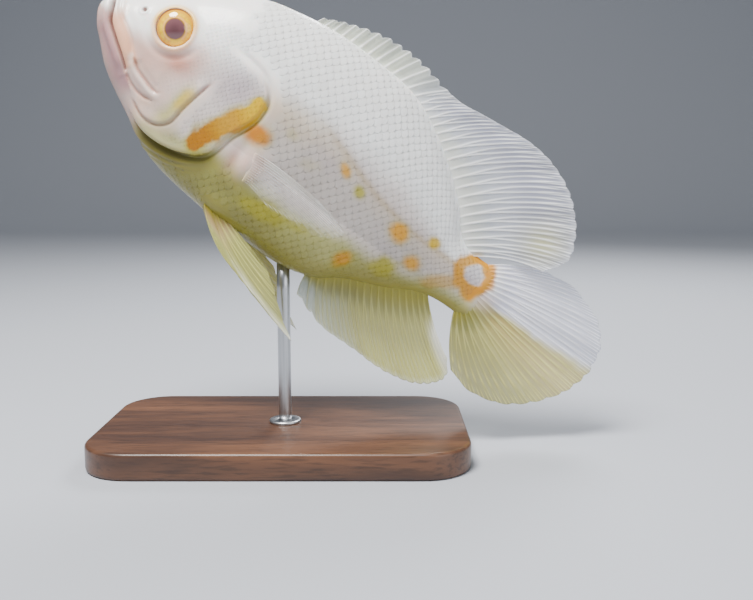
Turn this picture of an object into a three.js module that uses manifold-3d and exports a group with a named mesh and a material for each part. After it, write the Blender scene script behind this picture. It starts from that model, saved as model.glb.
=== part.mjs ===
// A life-size model of an oscar, Astronotus ocellatus, of the white and lemon breed, swimming head up on a stand.
// Millimetres, +Z up. The origin is at the middle of the stand's underside.
// The fish is drawn in its own frame: x from the tip of the snout to the tail, y to its right, z to its back.
import * as THREE from "three";
import { mergeVertices } from "three/addons/utils/BufferGeometryUtils.js";
import Module from "manifold-3d";

const wasm = await Module();
wasm.setup();

// Driving dimensions of the fish.
const STANDARD_LENGTH = 210; // tip of the snout to the root of the tail fin
const HEAD_UP = THREE.MathUtils.degToRad(36.54);
const TAIL_SWING = 9; // sideways, at the end of the tail fin
const SWING_START = 120;
const SWING_END = 275;
const GAP = 0.3; // between pieces that touch
const SLIVER = 0.02; // edges this short are closed up after a cut
const BODY_END = 218;
const BODY_RINGS = 38;
const BODY_SIDES = 32;
const NOSE_ROUND = 7; // length over which the snout rounds off
const MEMBRANE = 0.36; // half the thickness of a fin's membrane

// Driving dimensions of the stand.
const BASE_LENGTH = 170;
const BASE_WIDTH = 100;
const BASE_THICK = 12;
const BASE_CORNER = 22;
const BASE_BEVEL = 1.6;
const ROD_RADIUS = 3;
const ROD_FOOT = 133; // along the fish, where the rod meets the belly
const ROD_SUNK = 6; // the rod's start below the base's top
const SNOUT_HEIGHT = 203; // tip of the snout above the floor

// A smooth curve through points [at, value], level beyond its ends.
function curveThrough(points) {
  const slope = points.map((p, i) => {
    const a = points[Math.max(i - 1, 0)];
    const b = points[Math.min(i + 1, points.length - 1)];
    return (b[1] - a[1]) / (b[0] - a[0]);
  });
  return (at) => {
    if (at <= points[0][0]) return points[0][1];
    const last = points.length - 1;
    if (at >= points[last][0]) return points[last][1];
    let i = 0;
    while (points[i + 1][0] < at) i += 1;
    const span = points[i + 1][0] - points[i][0];
    const t = (at - points[i][0]) / span;
    const t2 = t * t;
    const t3 = t2 * t;
    return (
      (2 * t3 - 3 * t2 + 1) * points[i][1] +
      (t3 - 2 * t2 + t) * span * slope[i] +
      (3 * t2 - 2 * t3) * points[i + 1][1] +
      (t3 - t2) * span * slope[i + 1]
    );
  };
}

const clamp01 = (t) => Math.min(Math.max(t, 0), 1);
const smooth = (t) => clamp01(t) ** 2 * (3 - 2 * clamp01(t));

// The body's outline from the side and from above.
const backLine = curveThrough([
  [0, 5.5],
  [13, 14],
  [35, 31],
  [55, 43.4],
  [68, 47.8],
  [90, 51.9],
  [112, 52.7],
  [135, 51],
  [157, 41.7],
  [180, 25.4],
  [190, 14.6],
  [200, 10.1],
  [BODY_END, 10.4],
]);
const bellyLine = curveThrough([
  [0, -6],
  [8, -13],
  [18, -22.6],
  [35, -32.6],
  [54, -42.4],
  [72, -46.2],
  [100, -48.1],
  [130, -47.9],
  [147, -43.4],
  [158, -35.8],
  [175, -28.2],
  [190, -20.4],
  [200, -18],
  [BODY_END, -17.6],
]);
const halfWidth = curveThrough([
  [0, 9],
  [10, 11.6],
  [22, 15],
  [38, 17.8],
  [60, 20.6],
  [82, 21.8],
  [105, 21.3],
  [130, 18.6],
  [155, 14],
  [180, 9],
  [200, 6],
  [BODY_END, 4],
]);
const UPPER_FULLNESS = 1.9;
const LOWER_FULLNESS = 2.15;

// How much of its full section the body has at x: the snout and the tail's end round off.
function ending(x) {
  const nose = 1 - clamp01(x / NOSE_ROUND);
  const tail = clamp01((x - BODY_END + 5) / 5);
  return Math.sqrt(Math.max(1 - nose * nose, 0)) * Math.sqrt(Math.max(1 - 0.9 * tail * tail, 0));
}

function section(x, grow = 0) {
  const top = backLine(x);
  const bottom = bellyLine(x);
  const middle = bottom + (top - bottom) * 0.5;
  const share = ending(x);
  return {
    middle,
    up: (top - middle) * share + grow,
    down: (middle - bottom) * share + grow,
    side: halfWidth(x) * share + grow,
  };
}

// Half the body's width at a point of the side view.
function sideOf(x, z, grow = 0) {
  const s = section(x, grow);
  const above = z > s.middle;
  const t = Math.abs(z - s.middle) / (above ? s.up : s.down);
  const n = above ? UPPER_FULLNESS : LOWER_FULLNESS;
  return t >= 1 ? 0 : s.side * (1 - t ** n) ** (1 / n);
}

// A closed skin over rings of points, from one end point to the other.
function skinOver(rings, first, last) {
  const count = rings[0].length;
  const points = [first, ...rings.flat(), last];
  const index = [];
  const at = (r, k) => 1 + r * count + (k % count);
  for (let k = 0; k < count; k++) {
    index.push(0, at(0, k + 1), at(0, k));
    index.push(points.length - 1, at(rings.length - 1, k), at(rings.length - 1, k + 1));
    for (let r = 0; r < rings.length - 1; r++) {
      index.push(at(r, k), at(r, k + 1), at(r + 1, k + 1));
      index.push(at(r, k), at(r + 1, k + 1), at(r + 1, k));
    }
  }
  return new THREE.BufferGeometry().setFromPoints(points).setIndex(index);
}

// The whole body as one form, larger or smaller by grow.
function bodyForm(grow = 0) {
  const rings = [];
  const stations = BODY_RINGS;
  const around = BODY_SIDES;
  for (let i = 1; i < stations; i++) {
    const t = i / stations;
    const x = BODY_END * (0.62 * t + 0.38 * t * t) + grow * (2 * t - 1);
    const s = section(THREE.MathUtils.clamp(x, 0.15, BODY_END), grow);
    const ring = [];
    for (let k = 0; k < around; k++) {
      const angle = (2 * Math.PI * k) / around;
      const c = Math.cos(angle);
      const n = c > 0 ? UPPER_FULLNESS : LOWER_FULLNESS;
      const side = s.side * Math.sign(Math.sin(angle)) * Math.abs(Math.sin(angle)) ** (2 / n);
      const rise = (c > 0 ? s.up : s.down) * Math.sign(c) * Math.abs(c) ** (2 / n);
      ring.push(new THREE.Vector3(x, side, s.middle + rise));
    }
    rings.push(ring);
  }
  const nose = new THREE.Vector3(-grow, 0, section(0).middle);
  const tail = new THREE.Vector3(BODY_END + grow, 0, section(BODY_END).middle);
  return solidOf(skinOver(rings, nose, tail));
}

// A closed geometry as a solid that can be joined and cut.
function solidOf(geometry) {
  const g = geometry.clone();
  g.deleteAttribute("normal");
  g.deleteAttribute("uv");
  const merged = mergeVertices(g, 1e-4);
  const faces = [];
  const index = merged.index.array;
  for (let i = 0; i < index.length; i += 3) {
    const [a, b, c] = index.slice(i, i + 3);
    if (a !== b && b !== c && a !== c) faces.push(a, b, c);
  }
  const made = new wasm.Manifold(
    new wasm.Mesh({
      numProp: 3,
      vertProperties: new Float32Array(merged.attributes.position.array),
      triVerts: new Uint32Array(faces),
    }),
  );
  if (made.volume() > 0) return made;
  for (let i = 0; i < faces.length; i += 3) [faces[i], faces[i + 1]] = [faces[i + 1], faces[i]];
  return new wasm.Manifold(
    new wasm.Mesh({
      numProp: 3,
      vertProperties: new Float32Array(merged.attributes.position.array),
      triVerts: new Uint32Array(faces),
    }),
  );
}

// The largest closed surface of a solid, without the slivers that cutting leaves, as a geometry.
function geometryOf(solid) {
  const parts = solid.decompose().sort((a, b) => b.volume() - a.volume());
  const mesh = parts[0].simplify(SLIVER).getMesh();
  const positions = new Float32Array(mesh.numVert * 3);
  for (let i = 0; i < mesh.numVert; i++) {
    positions.set(mesh.vertProperties.subarray(i * mesh.numProp, i * mesh.numProp + 3), i * 3);
  }
  const g = new THREE.BufferGeometry();
  g.setAttribute("position", new THREE.BufferAttribute(positions, 3));
  return g.setIndex(new THREE.BufferAttribute(mesh.triVerts, 1));
}

// A block with a side-view outline, right through the body or over one side of it.
function throughBlock(outline, from = -60, to = 60) {
  const shape = new THREE.Shape(outline.map(([x, z]) => new THREE.Vector2(x, z)));
  const block = new THREE.ExtrudeGeometry(shape, { depth: to - from, bevelEnabled: false });
  block.rotateX(Math.PI / 2); // the outline's second number becomes z, and the depth runs to -y
  block.translate(0, to, 0);
  return solidOf(block);
}

// Outline points on a smooth closed or open curve through a few places.
function smoothLine(places, pieces) {
  const curve = new THREE.SplineCurve(places.map(([x, z]) => new THREE.Vector2(x, z)));
  return curve.getPoints(pieces).map((p) => [p.x, p.y]);
}

// The same outline with each point moved outwards by a distance.
function grown(outline, distance) {
  const turn = THREE.ShapeUtils.area(outline.map(([x, z]) => new THREE.Vector2(x, z))) > 0 ? 1 : -1;
  return outline.map(([x, z], i) => {
    const [px, pz] = outline[(i + outline.length - 1) % outline.length];
    const [nx, nz] = outline[(i + 1) % outline.length];
    const along = Math.hypot(nx - px, nz - pz);
    return [x + (turn * distance * (nz - pz)) / along, z - (turn * distance * (nx - px)) / along];
  });
}

// The mouth: its line from the front of the snout down to the corner, seen from the side. The lower jaw reaches
// further forward than the upper.
const MOUTH_FRONT = 3;
const MOUTH_CORNER = 28.8;
const mouthLine = curveThrough([
  [MOUTH_FRONT, 8],
  [5.5, 5.8],
  [8, 2.4],
  [11.4, -3.6],
  [17.3, -8.1],
  [24.1, -12.9],
  [MOUTH_CORNER, -17.2],
]);
const MOUTH_OPEN = 1.6; // at the front
const LIP_RADIUS = 2.4;

// The place at a share of the mouth line, moved square to it, up and back for a positive distance.
function besideMouth(share, distance) {
  const x = MOUTH_FRONT + (MOUTH_CORNER - MOUTH_FRONT) * share;
  const slope = (mouthLine(x + 0.1) - mouthLine(x - 0.1)) / 0.2;
  const length = Math.hypot(1, slope);
  return [x - (distance * slope) / length, mouthLine(x) + distance / length];
}

// A rounded roll of lip on one side of the mouth line, from corner to corner round the snout.
function lip(side) {
  const steps = 12;
  const places = [];
  for (let i = -steps; i <= steps; i++) {
    const t = Math.abs(i) / steps;
    const [x, z] = besideMouth(0.02 + 0.96 * t ** 1.3, side * LIP_RADIUS * (1.05 - 0.35 * t));
    places.push(new THREE.Vector3(x, Math.sign(i) * Math.max(sideOf(x, z) - 0.6, 0), z));
  }
  const curve = new THREE.CatmullRomCurve3(places);
  return sweep(curve, 22, 7, (t) => LIP_RADIUS * (1 - 0.55 * Math.abs(2 * t - 1) ** 1.6));
}

// A round bar along a curve, of changing radius, with pointed ends.
function sweep(curve, steps, sides, radiusAt) {
  const frames = curve.computeFrenetFrames(steps, false);
  const rings = [];
  for (let i = 1; i < steps; i++) {
    const centre = curve.getPointAt(i / steps);
    const radius = radiusAt(i / steps);
    const ring = [];
    for (let k = 0; k < sides; k++) {
      const angle = (2 * Math.PI * k) / sides;
      ring.push(
        centre
          .clone()
          .addScaledVector(frames.normals[i], radius * Math.cos(angle))
          .addScaledVector(frames.binormals[i], radius * Math.sin(angle)),
      );
    }
    rings.push(ring);
  }
  return solidOf(skinOver(rings, curve.getPointAt(0), curve.getPointAt(1)));
}

// The eyes: a flattened ball in each socket, with a fleshy rim round it.
const EYE_X = 36.6;
const EYE_Z = 10.3;
const EYE_RADIUS = 9;
const EYE_HALF_DEPTH = 6.2;
const EYE_PROUD = 3.1; // how far the ball stands out of the skin
const RIM_RADIUS = 1.7;
function eyeBall(side, grow = 0) {
  const ball = new THREE.SphereGeometry(1, 20, 11);
  ball.scale(EYE_RADIUS + grow, EYE_HALF_DEPTH + grow, EYE_RADIUS + grow);
  return solidOf(ball.translate(EYE_X, side * (sideOf(EYE_X, EYE_Z) + EYE_PROUD - EYE_HALF_DEPTH), EYE_Z));
}
function eyeRim(side) {
  const rim = new THREE.TorusGeometry(EYE_RADIUS, RIM_RADIUS, 7, 20);
  rim.rotateX(Math.PI / 2);
  rim.rotateZ(side * 0.13); // the head narrows forward
  return solidOf(rim.translate(EYE_X, side * (sideOf(EYE_X, EYE_Z) - 0.5), EYE_Z));
}

// The nostrils: one pit on each side, between the eye and the lip.
const NOSTRIL_X = 21;
const NOSTRIL_Z = 9.5;
function nostril(side) {
  const pit = new THREE.CylinderGeometry(1.3, 0.8, 6, 8);
  pit.rotateX((side * Math.PI) / 2);
  return solidOf(pit.translate(NOSTRIL_X, side * sideOf(NOSTRIL_X, NOSTRIL_Z), NOSTRIL_Z));
}

// Side-view outlines that part the body.
const gillEdge = smoothLine(
  [
    [72, 17],
    [80.4, 15.4],
    [86.8, 7],
    [86, -4],
    [81.4, -13],
    [78.6, -23],
    [72, -29],
    [60, -33.6],
    [45, -33.6],
  ],
  26,
);
const cheekEdge = smoothLine(
  [
    [43, -27.6],
    [52, -27.4],
    [58, -22.5],
    [59.4, -12],
    [61.7, -3.7],
    [63.4, 4],
    [66, 12],
  ],
  14,
);
const headOutline = [[-20, 70], [66, 70], [70, 40], ...gillEdge, [40.5, -36], [40, -70], [-20, -70]];
const coverOutline = [...gillEdge.map(([x, z]) => [x + 0.8, z - 0.6]), ...cheekEdge];
const jawTop = [[-6, 8]];
const palate = [[-6, 10]];
for (let i = 0; i <= 10; i++) {
  const open = 0.5 * MOUTH_OPEN * (1 - i / 10);
  jawTop.push(besideMouth(i / 10, -open));
  palate.push(besideMouth(i / 10, open));
}
const jawRest = [[33, -21.5], [38.4, -26.6], [40.2, -31.5], [40.2, -70], [-30, -70], [-30, 0]];
const jawOutline = [...jawTop, ...jawRest];
const mouthRoom = [...palate, ...jawRest];
const STALK_START = 192;

// A fin. Each ray is a straight or bent line from its root to its tip; the fin's grid has a column on each ray and
// one between each two, and both faces are split alike.
function fin({ rays, rows, thickAt, dipAt = () => 0.02 }) {
  const columns = 2 * rays.length - 1;
  const front = [];
  const back = [];
  for (let c = 0; c < columns; c++) {
    const onRay = c % 2 === 0;
    const a = rays[Math.floor(c / 2)];
    const b = rays[Math.ceil(c / 2)];
    for (let r = 0; r <= rows; r++) {
      const t = r / rows;
      const reach = onRay ? t : t * (1 - dipAt(c / (columns - 1))); // the membrane ends short of the tips
      const p = a(reach).lerp(b(reach), 0.5);
      const half = thickAt(c / (columns - 1), t, onRay);
      front.push(new THREE.Vector3(p.x, p.y - half, p.z));
      back.push(new THREE.Vector3(p.x, p.y + half, p.z));
    }
  }
  const n = front.length;
  const at = (c, r) => c * (rows + 1) + r;
  const index = [];
  const quad = (a, b, c, d) => index.push(a, b, c, a, c, d);
  for (let c = 0; c < columns - 1; c++) {
    for (let r = 0; r < rows; r++) {
      const [a, b, d, e] = [at(c, r), at(c + 1, r), at(c + 1, r + 1), at(c, r + 1)];
      quad(a, b, d, e);
      index.push(n + a, n + d, n + b, n + a, n + e, n + d);
    }
    quad(at(c + 1, 0), at(c, 0), n + at(c, 0), n + at(c + 1, 0));
    quad(at(c, rows), at(c + 1, rows), n + at(c + 1, rows), n + at(c, rows));
  }
  for (let r = 0; r < rows; r++) {
    quad(at(0, r), at(0, r + 1), n + at(0, r + 1), n + at(0, r));
    quad(at(columns - 1, r + 1), at(columns - 1, r), n + at(columns - 1, r), n + at(columns - 1, r + 1));
  }
  return solidOf(new THREE.BufferGeometry().setFromPoints([...front, ...back]).setIndex(index));
}

// Half the thickness of a fin at a share of its length: rays stand proud of the membrane and taper to their tips.
function rayed({ ray, sheath = 0, sheathShare = 0.3 }) {
  return (across, t, onRay) => {
    const flesh = sheath * (1 - smooth(t / sheathShare));
    const bone = onRay ? ray * (1 - 0.75 * t) : 0;
    return Math.max(MEMBRANE * (1 - 0.35 * t), bone) + flesh;
  };
}

// A ray from root to tip, each [x, z] or [x, z, y], bowed in the side view and swept to one side.
function ray(root, tip, bow = 0, lean = 0) {
  const dx = tip[0] - root[0];
  const dz = tip[1] - root[1];
  const y0 = root[2] || 0;
  const y1 = tip[2] || 0;
  return (t) => {
    const off = bow * 4 * t * (1 - t);
    return new THREE.Vector3(
      root[0] + dx * t - dz * off,
      y0 + (y1 - y0) * t + lean * t * t,
      root[1] + dz * t + dx * off,
    );
  };
}

const ROOT_SUNK = 4;

// The back fin: thirteen spines, then twenty soft rays that fan out to a round lobe.
const DORSAL_RAYS = 33;
const dorsalRootX = curveThrough([
  [0, 80],
  [12, 134],
  [18, 156],
  [25, 181],
  [29, 191],
  [32, 199],
]);
const dorsalTipX = curveThrough([
  [0, 83],
  [3, 96],
  [6, 112],
  [9, 128],
  [13, 152],
  [16, 170],
  [19, 190],
  [22, 208],
  [25, 223],
  [28, 233.5],
  [30, 237.5],
  [32, 231.5],
]);
const dorsalTipZ = curveThrough([
  [0, 53.4],
  [3, 59.4],
  [6, 63.8],
  [9, 64.4],
  [13, 60.6],
  [16, 62.8],
  [19, 65.2],
  [22, 62.8],
  [25, 55],
  [28, 44],
  [30, 33],
  [32, 22],
]);
function dorsalFin() {
  const rays = [];
  for (let i = 0; i < DORSAL_RAYS; i++) {
    const x = dorsalRootX(i);
    const spine = i < 13;
    const root = [x, backLine(x) - ROOT_SUNK];
    const tip = [dorsalTipX(i), dorsalTipZ(i)];
    rays.push(ray(root, tip, spine ? 0.02 : 0.05, -3.5 * smooth((i - 14) / 14)));
  }
  const soft = rayed({ ray: 0.8, sheath: 2, sheathShare: 0.42 });
  const spiny = rayed({ ray: 0.95, sheath: 1.2, sheathShare: 0.5 });
  return fin({
    rays,
    rows: 6,
    thickAt: (across, t, onRay) => (across < 0.4 ? spiny : soft)(across, t, onRay),
    dipAt: (across) => (across < 0.4 ? 0.13 : 0.02),
  });
}

// The anal fin: three spines, then sixteen soft rays.
const ANAL_RAYS = 19;
const analRootX = curveThrough([
  [0, 143],
  [3, 151],
  [12, 178],
  [18, 193],
]);
const analTipX = curveThrough([
  [0, 145.5],
  [2, 161],
  [5, 180],
  [9, 200],
  [12, 213.5],
  [15, 223],
  [17, 224.4],
  [18, 220],
]);
const analTipZ = curveThrough([
  [0, -54.2],
  [2, -59.3],
  [5, -59.8],
  [9, -59.5],
  [12, -56.3],
  [15, -49],
  [17, -42.5],
  [18, -36.5],
]);
function analFin() {
  const rays = [];
  for (let i = 0; i < ANAL_RAYS; i++) {
    const x = analRootX(i);
    const tip = [analTipX(i), analTipZ(i)];
    rays.push(ray([x, bellyLine(x) + ROOT_SUNK], tip, -0.05, -4 * smooth((i - 4) / 12)));
  }
  return fin({ rays, rows: 6, thickAt: rayed({ ray: 0.8, sheath: 1.8, sheathShare: 0.4 }) });
}

// The tail fin: a round fan of eighteen rays whose upper half curls away.
const TAIL_RAYS = 18;
const tailTipX = curveThrough([
  [0, 234],
  [2, 253],
  [4, 269],
  [6, 278],
  [8, 281],
  [10, 278],
  [12, 270],
  [14, 256.5],
  [16, 238],
  [17, 225],
]);
const tailTipZ = curveThrough([
  [0, 23],
  [2, 24.6],
  [4, 19.4],
  [6, 9.4],
  [8, -2.5],
  [10, -15],
  [12, -28],
  [14, -39],
  [16, -43.6],
  [17, -40.4],
]);
function tailFin() {
  const rays = [];
  for (let i = 0; i < TAIL_RAYS; i++) {
    const t = i / (TAIL_RAYS - 1);
    const root = [212 + 1.5 * Math.sin(Math.PI * t), 9.4 - 26 * t];
    const curl = 5 * smooth((0.5 - t) / 0.5) - 2.5 * smooth((t - 0.5) / 0.5);
    rays.push(ray(root, [tailTipX(i), tailTipZ(i)], 0.05 * (1 - 2 * t), curl));
  }
  return fin({ rays, rows: 7, thickAt: rayed({ ray: 0.9, sheath: 2.2, sheathShare: 0.3 }) });
}

// The left pectoral fin: fourteen rays from an upright fleshy root behind the gill cover, held back along the flank.
const PECTORAL_RAYS = 14;
const PECTORAL_X = 95.5;
const PECTORAL_TOP = -11.5;
const PECTORAL_BOTTOM = -24.5;
const pectoralTipX = curveThrough([
  [0, 137],
  [3, 146],
  [7, 142],
  [10, 131],
  [13, 114],
]);
const pectoralTipZ = curveThrough([
  [0, -12.6],
  [3, -16.2],
  [7, -22.4],
  [10, -26.4],
  [13, -27.6],
]);
function pectoralFin() {
  const rays = [];
  for (let i = 0; i < PECTORAL_RAYS; i++) {
    const t = i / (PECTORAL_RAYS - 1);
    const x = PECTORAL_X + 2.5 * t;
    const z = PECTORAL_TOP + (PECTORAL_BOTTOM - PECTORAL_TOP) * t;
    const root = [x, z, 1.5 - sideOf(x, z)];
    const tip = [pectoralTipX(i), pectoralTipZ(i), 2.5 * t - 29.5];
    rays.push(ray(root, tip, 0.03, 1.5));
  }
  return fin({ rays, rows: 5, thickAt: rayed({ ray: 0.75, sheath: 1.5, sheathShare: 0.25 }) });
}

// A left pelvic fin: one spine and five soft rays, the first of them drawn out into a thread.
const PELVIC_RAYS = 6;
const pelvicTipX = curveThrough([
  [0, 112],
  [1, 156],
  [2, 143],
  [3, 136],
  [4, 129],
  [5, 120],
]);
const pelvicTipZ = curveThrough([
  [0, -58.4],
  [1, -70.6],
  [2, -62],
  [3, -56],
  [4, -51.6],
  [5, -48.9],
]);
function pelvicFin(spread) {
  const rays = [];
  for (let i = 0; i < PELVIC_RAYS; i++) {
    const t = i / (PELVIC_RAYS - 1);
    const x = 87 + 14 * t;
    const root = [x, bellyLine(x) + 4.5, 2.5 * t - 8.5];
    const tip = [pelvicTipX(i), pelvicTipZ(i), 3.5 * t - spread];
    rays.push(ray(root, tip, -0.07 * (1 - t), -1));
  }
  return fin({ rays, rows: 6, thickAt: rayed({ ray: 1, sheath: 1.6, sheathShare: 0.35 }) });
}

// The swing of the tail, as a change of every point.
function swung(geometry) {
  const p = geometry.attributes.position;
  for (let i = 0; i < p.count; i++) {
    const t = Math.max((p.getX(i) - SWING_START) / (SWING_END - SWING_START), 0);
    p.setY(i, p.getY(i) + TAIL_SWING * t * t);
  }
  return geometry;
}

const skinLook = { color: 0xeee4dc, roughness: 0.42, metalness: 0 };
const finLook = { color: 0xd9dcb2, roughness: 0.5, metalness: 0 };
const LOOKS = {
  skin: new THREE.MeshStandardMaterial(skinLook),
  clearFin: new THREE.MeshStandardMaterial({ ...finLook, color: 0xd6d8da }),
  lemonFin: new THREE.MeshStandardMaterial(finLook),
  eye: new THREE.MeshStandardMaterial({ color: 0xe0a83c, roughness: 0.12, metalness: 0 }),
  wood: new THREE.MeshStandardMaterial({ color: 0x4a3020, roughness: 0.45, metalness: 0 }),
  steel: new THREE.MeshStandardMaterial({ color: 0xb9bcc0, roughness: 0.3, metalness: 1 }),
};

const fish = new THREE.Group();
fish.rotation.y = HEAD_UP;
const rodX = ROD_FOOT * Math.cos(HEAD_UP) + bellyLine(ROD_FOOT) * Math.sin(HEAD_UP);
fish.position.set(-rodX, 0, SNOUT_HEIGHT);
fish.updateMatrixWorld(true);

function addFlesh(name, solid, look) {
  const mesh = new THREE.Mesh(swung(geometryOf(solid)), look);
  mesh.name = name;
  fish.add(mesh);
}

// The body, parted into head, jaw, gill covers, trunk and tail stalk.
const body = bodyForm();
const kept = bodyForm(GAP);
const seat = bodyForm(-1.7);
const both = [-1, 1];
const headBlock = throughBlock(headOutline);
const jawBlock = throughBlock(jawOutline);
const sockets = both.map((side) => eyeBall(side, GAP));
const coverRoom = throughBlock(grown(coverOutline, GAP)).subtract(seat);

let face = body.intersect(headBlock);
for (const side of both) face = face.add(eyeRim(side)).add(lip(side));
for (const socket of sockets) face = face.subtract(socket);
for (const side of both) face = face.subtract(nostril(side));
face = face.subtract(coverRoom);
addFlesh("head", face.subtract(throughBlock(grown(mouthRoom, GAP))), LOOKS.skin);
addFlesh("lower_jaw", face.intersect(jawBlock), LOOKS.skin);

const behind = body.subtract(throughBlock(grown(headOutline, GAP))).subtract(coverRoom);
const stalkBlock = throughBlock([
  [STALK_START, -70],
  [300, -70],
  [300, 70],
  [STALK_START, 70],
]);
const stalkRoom = throughBlock([
  [STALK_START - GAP, -70],
  [300, -70],
  [300, 70],
  [STALK_START - GAP, 70],
]);
addFlesh("trunk", behind.subtract(stalkRoom), LOOKS.skin);
addFlesh("tail_stalk", behind.intersect(stalkBlock), LOOKS.skin);

// What comes in pairs is made for the left side and mirrored.
const coverShell = bodyForm(1).subtract(bodyForm(-1.4));
const pairs = {
  gill_cover: [coverShell.intersect(throughBlock(coverOutline, -60, -2)), LOOKS.skin],
  eye: [eyeBall(-1), LOOKS.eye],
  pectoral_fin: [pectoralFin().subtract(kept), LOOKS.clearFin],
};
for (const [name, [solid, look]] of Object.entries(pairs)) {
  addFlesh(name + "_left", solid, look);
  addFlesh(name + "_right", solid.mirror([0, 1, 0]), look);
}
addFlesh("pelvic_fin_left", pelvicFin(14).subtract(kept), LOOKS.lemonFin);
addFlesh("pelvic_fin_right", pelvicFin(12.5).subtract(kept).mirror([0, 1, 0]), LOOKS.lemonFin);
addFlesh("dorsal_fin", dorsalFin().subtract(kept), LOOKS.clearFin);
addFlesh("anal_fin", analFin().subtract(kept), LOOKS.lemonFin);
addFlesh("tail_fin", tailFin().subtract(kept), LOOKS.lemonFin);

// The stand: a flat base with rounded corners, and one rod up to the belly.
function roundedPlate(length, width, corner) {
  const [x, y] = [length / 2, width / 2];
  const shape = new THREE.Shape();
  shape.moveTo(-x + corner, -y);
  shape.lineTo(x - corner, -y);
  shape.absarc(x - corner, -y + corner, corner, -Math.PI / 2, 0);
  shape.lineTo(x, y - corner);
  shape.absarc(x - corner, y - corner, corner, 0, Math.PI / 2);
  shape.lineTo(-x + corner, y);
  shape.absarc(-x + corner, y - corner, corner, Math.PI / 2, Math.PI);
  shape.lineTo(-x, -y + corner);
  shape.absarc(-x + corner, -y + corner, corner, Math.PI, 1.5 * Math.PI);
  return shape;
}
const plate = new THREE.ExtrudeGeometry(
  roundedPlate(BASE_LENGTH - 2 * BASE_BEVEL, BASE_WIDTH - 2 * BASE_BEVEL, BASE_CORNER - BASE_BEVEL),
  {
    depth: BASE_THICK - 2 * BASE_BEVEL,
    bevelThickness: BASE_BEVEL,
    bevelSize: BASE_BEVEL,
    bevelSegments: 2,
    curveSegments: 8,
  },
);
plate.translate(0, 0, BASE_BEVEL);
const rodHole = new THREE.CylinderGeometry(ROD_RADIUS + GAP, ROD_RADIUS + GAP, 2 * ROD_SUNK, 24);
rodHole.rotateX(Math.PI / 2);
rodHole.translate(0, 0, BASE_THICK);
const base = new THREE.Mesh(geometryOf(solidOf(plate).subtract(solidOf(rodHole))), LOOKS.wood);
base.name = "stand_base";

const rodTop = SNOUT_HEIGHT - ROD_FOOT * Math.sin(HEAD_UP) + bellyLine(ROD_FOOT) * Math.cos(HEAD_UP) + 12;
const rodStart = BASE_THICK - ROD_SUNK + GAP;
const rod = new THREE.CylinderGeometry(ROD_RADIUS, ROD_RADIUS, rodTop - rodStart, 24);
rod.rotateX(Math.PI / 2);
rod.translate(0, 0, (rodTop + rodStart) / 2);
const keptGeometry = swung(geometryOf(kept)).applyMatrix4(fish.matrixWorld);
const rodMesh = new THREE.Mesh(geometryOf(solidOf(rod).subtract(solidOf(keptGeometry))), LOOKS.steel);
rodMesh.name = "stand_rod";

const model = new THREE.Group();
model.add(fish, base, rodMesh);

export default model;
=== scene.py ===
import math

import bpy
import numpy as np
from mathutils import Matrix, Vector


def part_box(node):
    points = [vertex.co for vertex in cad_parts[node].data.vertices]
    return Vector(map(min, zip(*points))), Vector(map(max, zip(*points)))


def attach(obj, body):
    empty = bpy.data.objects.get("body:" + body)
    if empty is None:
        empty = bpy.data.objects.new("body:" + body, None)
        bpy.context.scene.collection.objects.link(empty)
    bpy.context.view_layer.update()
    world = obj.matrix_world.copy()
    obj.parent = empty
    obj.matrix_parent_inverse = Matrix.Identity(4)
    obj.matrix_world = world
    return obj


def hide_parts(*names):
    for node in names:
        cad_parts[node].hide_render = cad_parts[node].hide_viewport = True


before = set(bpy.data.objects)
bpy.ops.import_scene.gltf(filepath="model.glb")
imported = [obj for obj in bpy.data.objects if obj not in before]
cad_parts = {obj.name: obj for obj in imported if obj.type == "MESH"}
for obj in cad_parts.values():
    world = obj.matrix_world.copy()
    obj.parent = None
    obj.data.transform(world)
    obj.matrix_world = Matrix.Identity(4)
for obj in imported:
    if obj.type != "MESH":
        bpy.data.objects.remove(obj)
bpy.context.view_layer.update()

# The stand's base. A flat plate of dark oiled hardwood, 12 mm thick, with round corners and a softened
# edge. It lies on the table, and carries the one rod.
base_low, base_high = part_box("stand_base")
BASE_CORNER = 0.022
BASE_EDGE = 0.0016


def add_object(name, data):
    """A new object in the scene."""
    made = bpy.data.objects.new(name, data)
    bpy.context.scene.collection.objects.link(made)
    return made


def add_mesh(name, points, faces, material):
    """A new smooth mesh of one material."""
    mesh = bpy.data.meshes.new(name)
    mesh.from_pydata(points, [], faces)
    mesh.polygons.foreach_set("use_smooth", [True] * len(faces))
    mesh.materials.append(material)
    return mesh


def piece_of(mesh, node=None):
    """The piece that shows a mesh, which rides with the model and may stand for one node or more."""
    piece = add_object(mesh.name, mesh)
    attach(piece, "root")
    if node:
        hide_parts(*([node] if isinstance(node, str) else node))
    return piece


def linear(red, green, blue):
    """A colour as the eye names it, 0 to 255, as the linear values that shaders use."""
    s = np.array([red, green, blue]) / 255
    return np.where(s <= 0.04045, s / 12.92, ((s + 0.055) / 1.055) ** 2.4)


def feed(tree, node, **values):
    """Sets a node's inputs, each to a value or to a link from another node's output."""
    for name, value in values.items():
        socket = node.inputs[name.replace("_", " ")]
        if isinstance(value, bpy.types.NodeSocket):
            tree.links.new(value, socket)
        else:
            socket.default_value = value


def add_node(tree, kind, output, settings=None, **values):
    """The named output of a new shader node with the given settings and inputs."""
    node = tree.nodes.new("ShaderNode" + kind)
    for name, value in (settings or {}).items():
        setattr(node, name, value)
    feed(tree, node, **values)
    return node.outputs[output]


def multiplied(tree, colour, by):
    """A colour times a value."""
    settings = {"data_type": "RGBA", "blend_type": "MULTIPLY"}
    return add_node(tree, "Mix", "Result", settings, Factor=1, A=colour, B=by)


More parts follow.
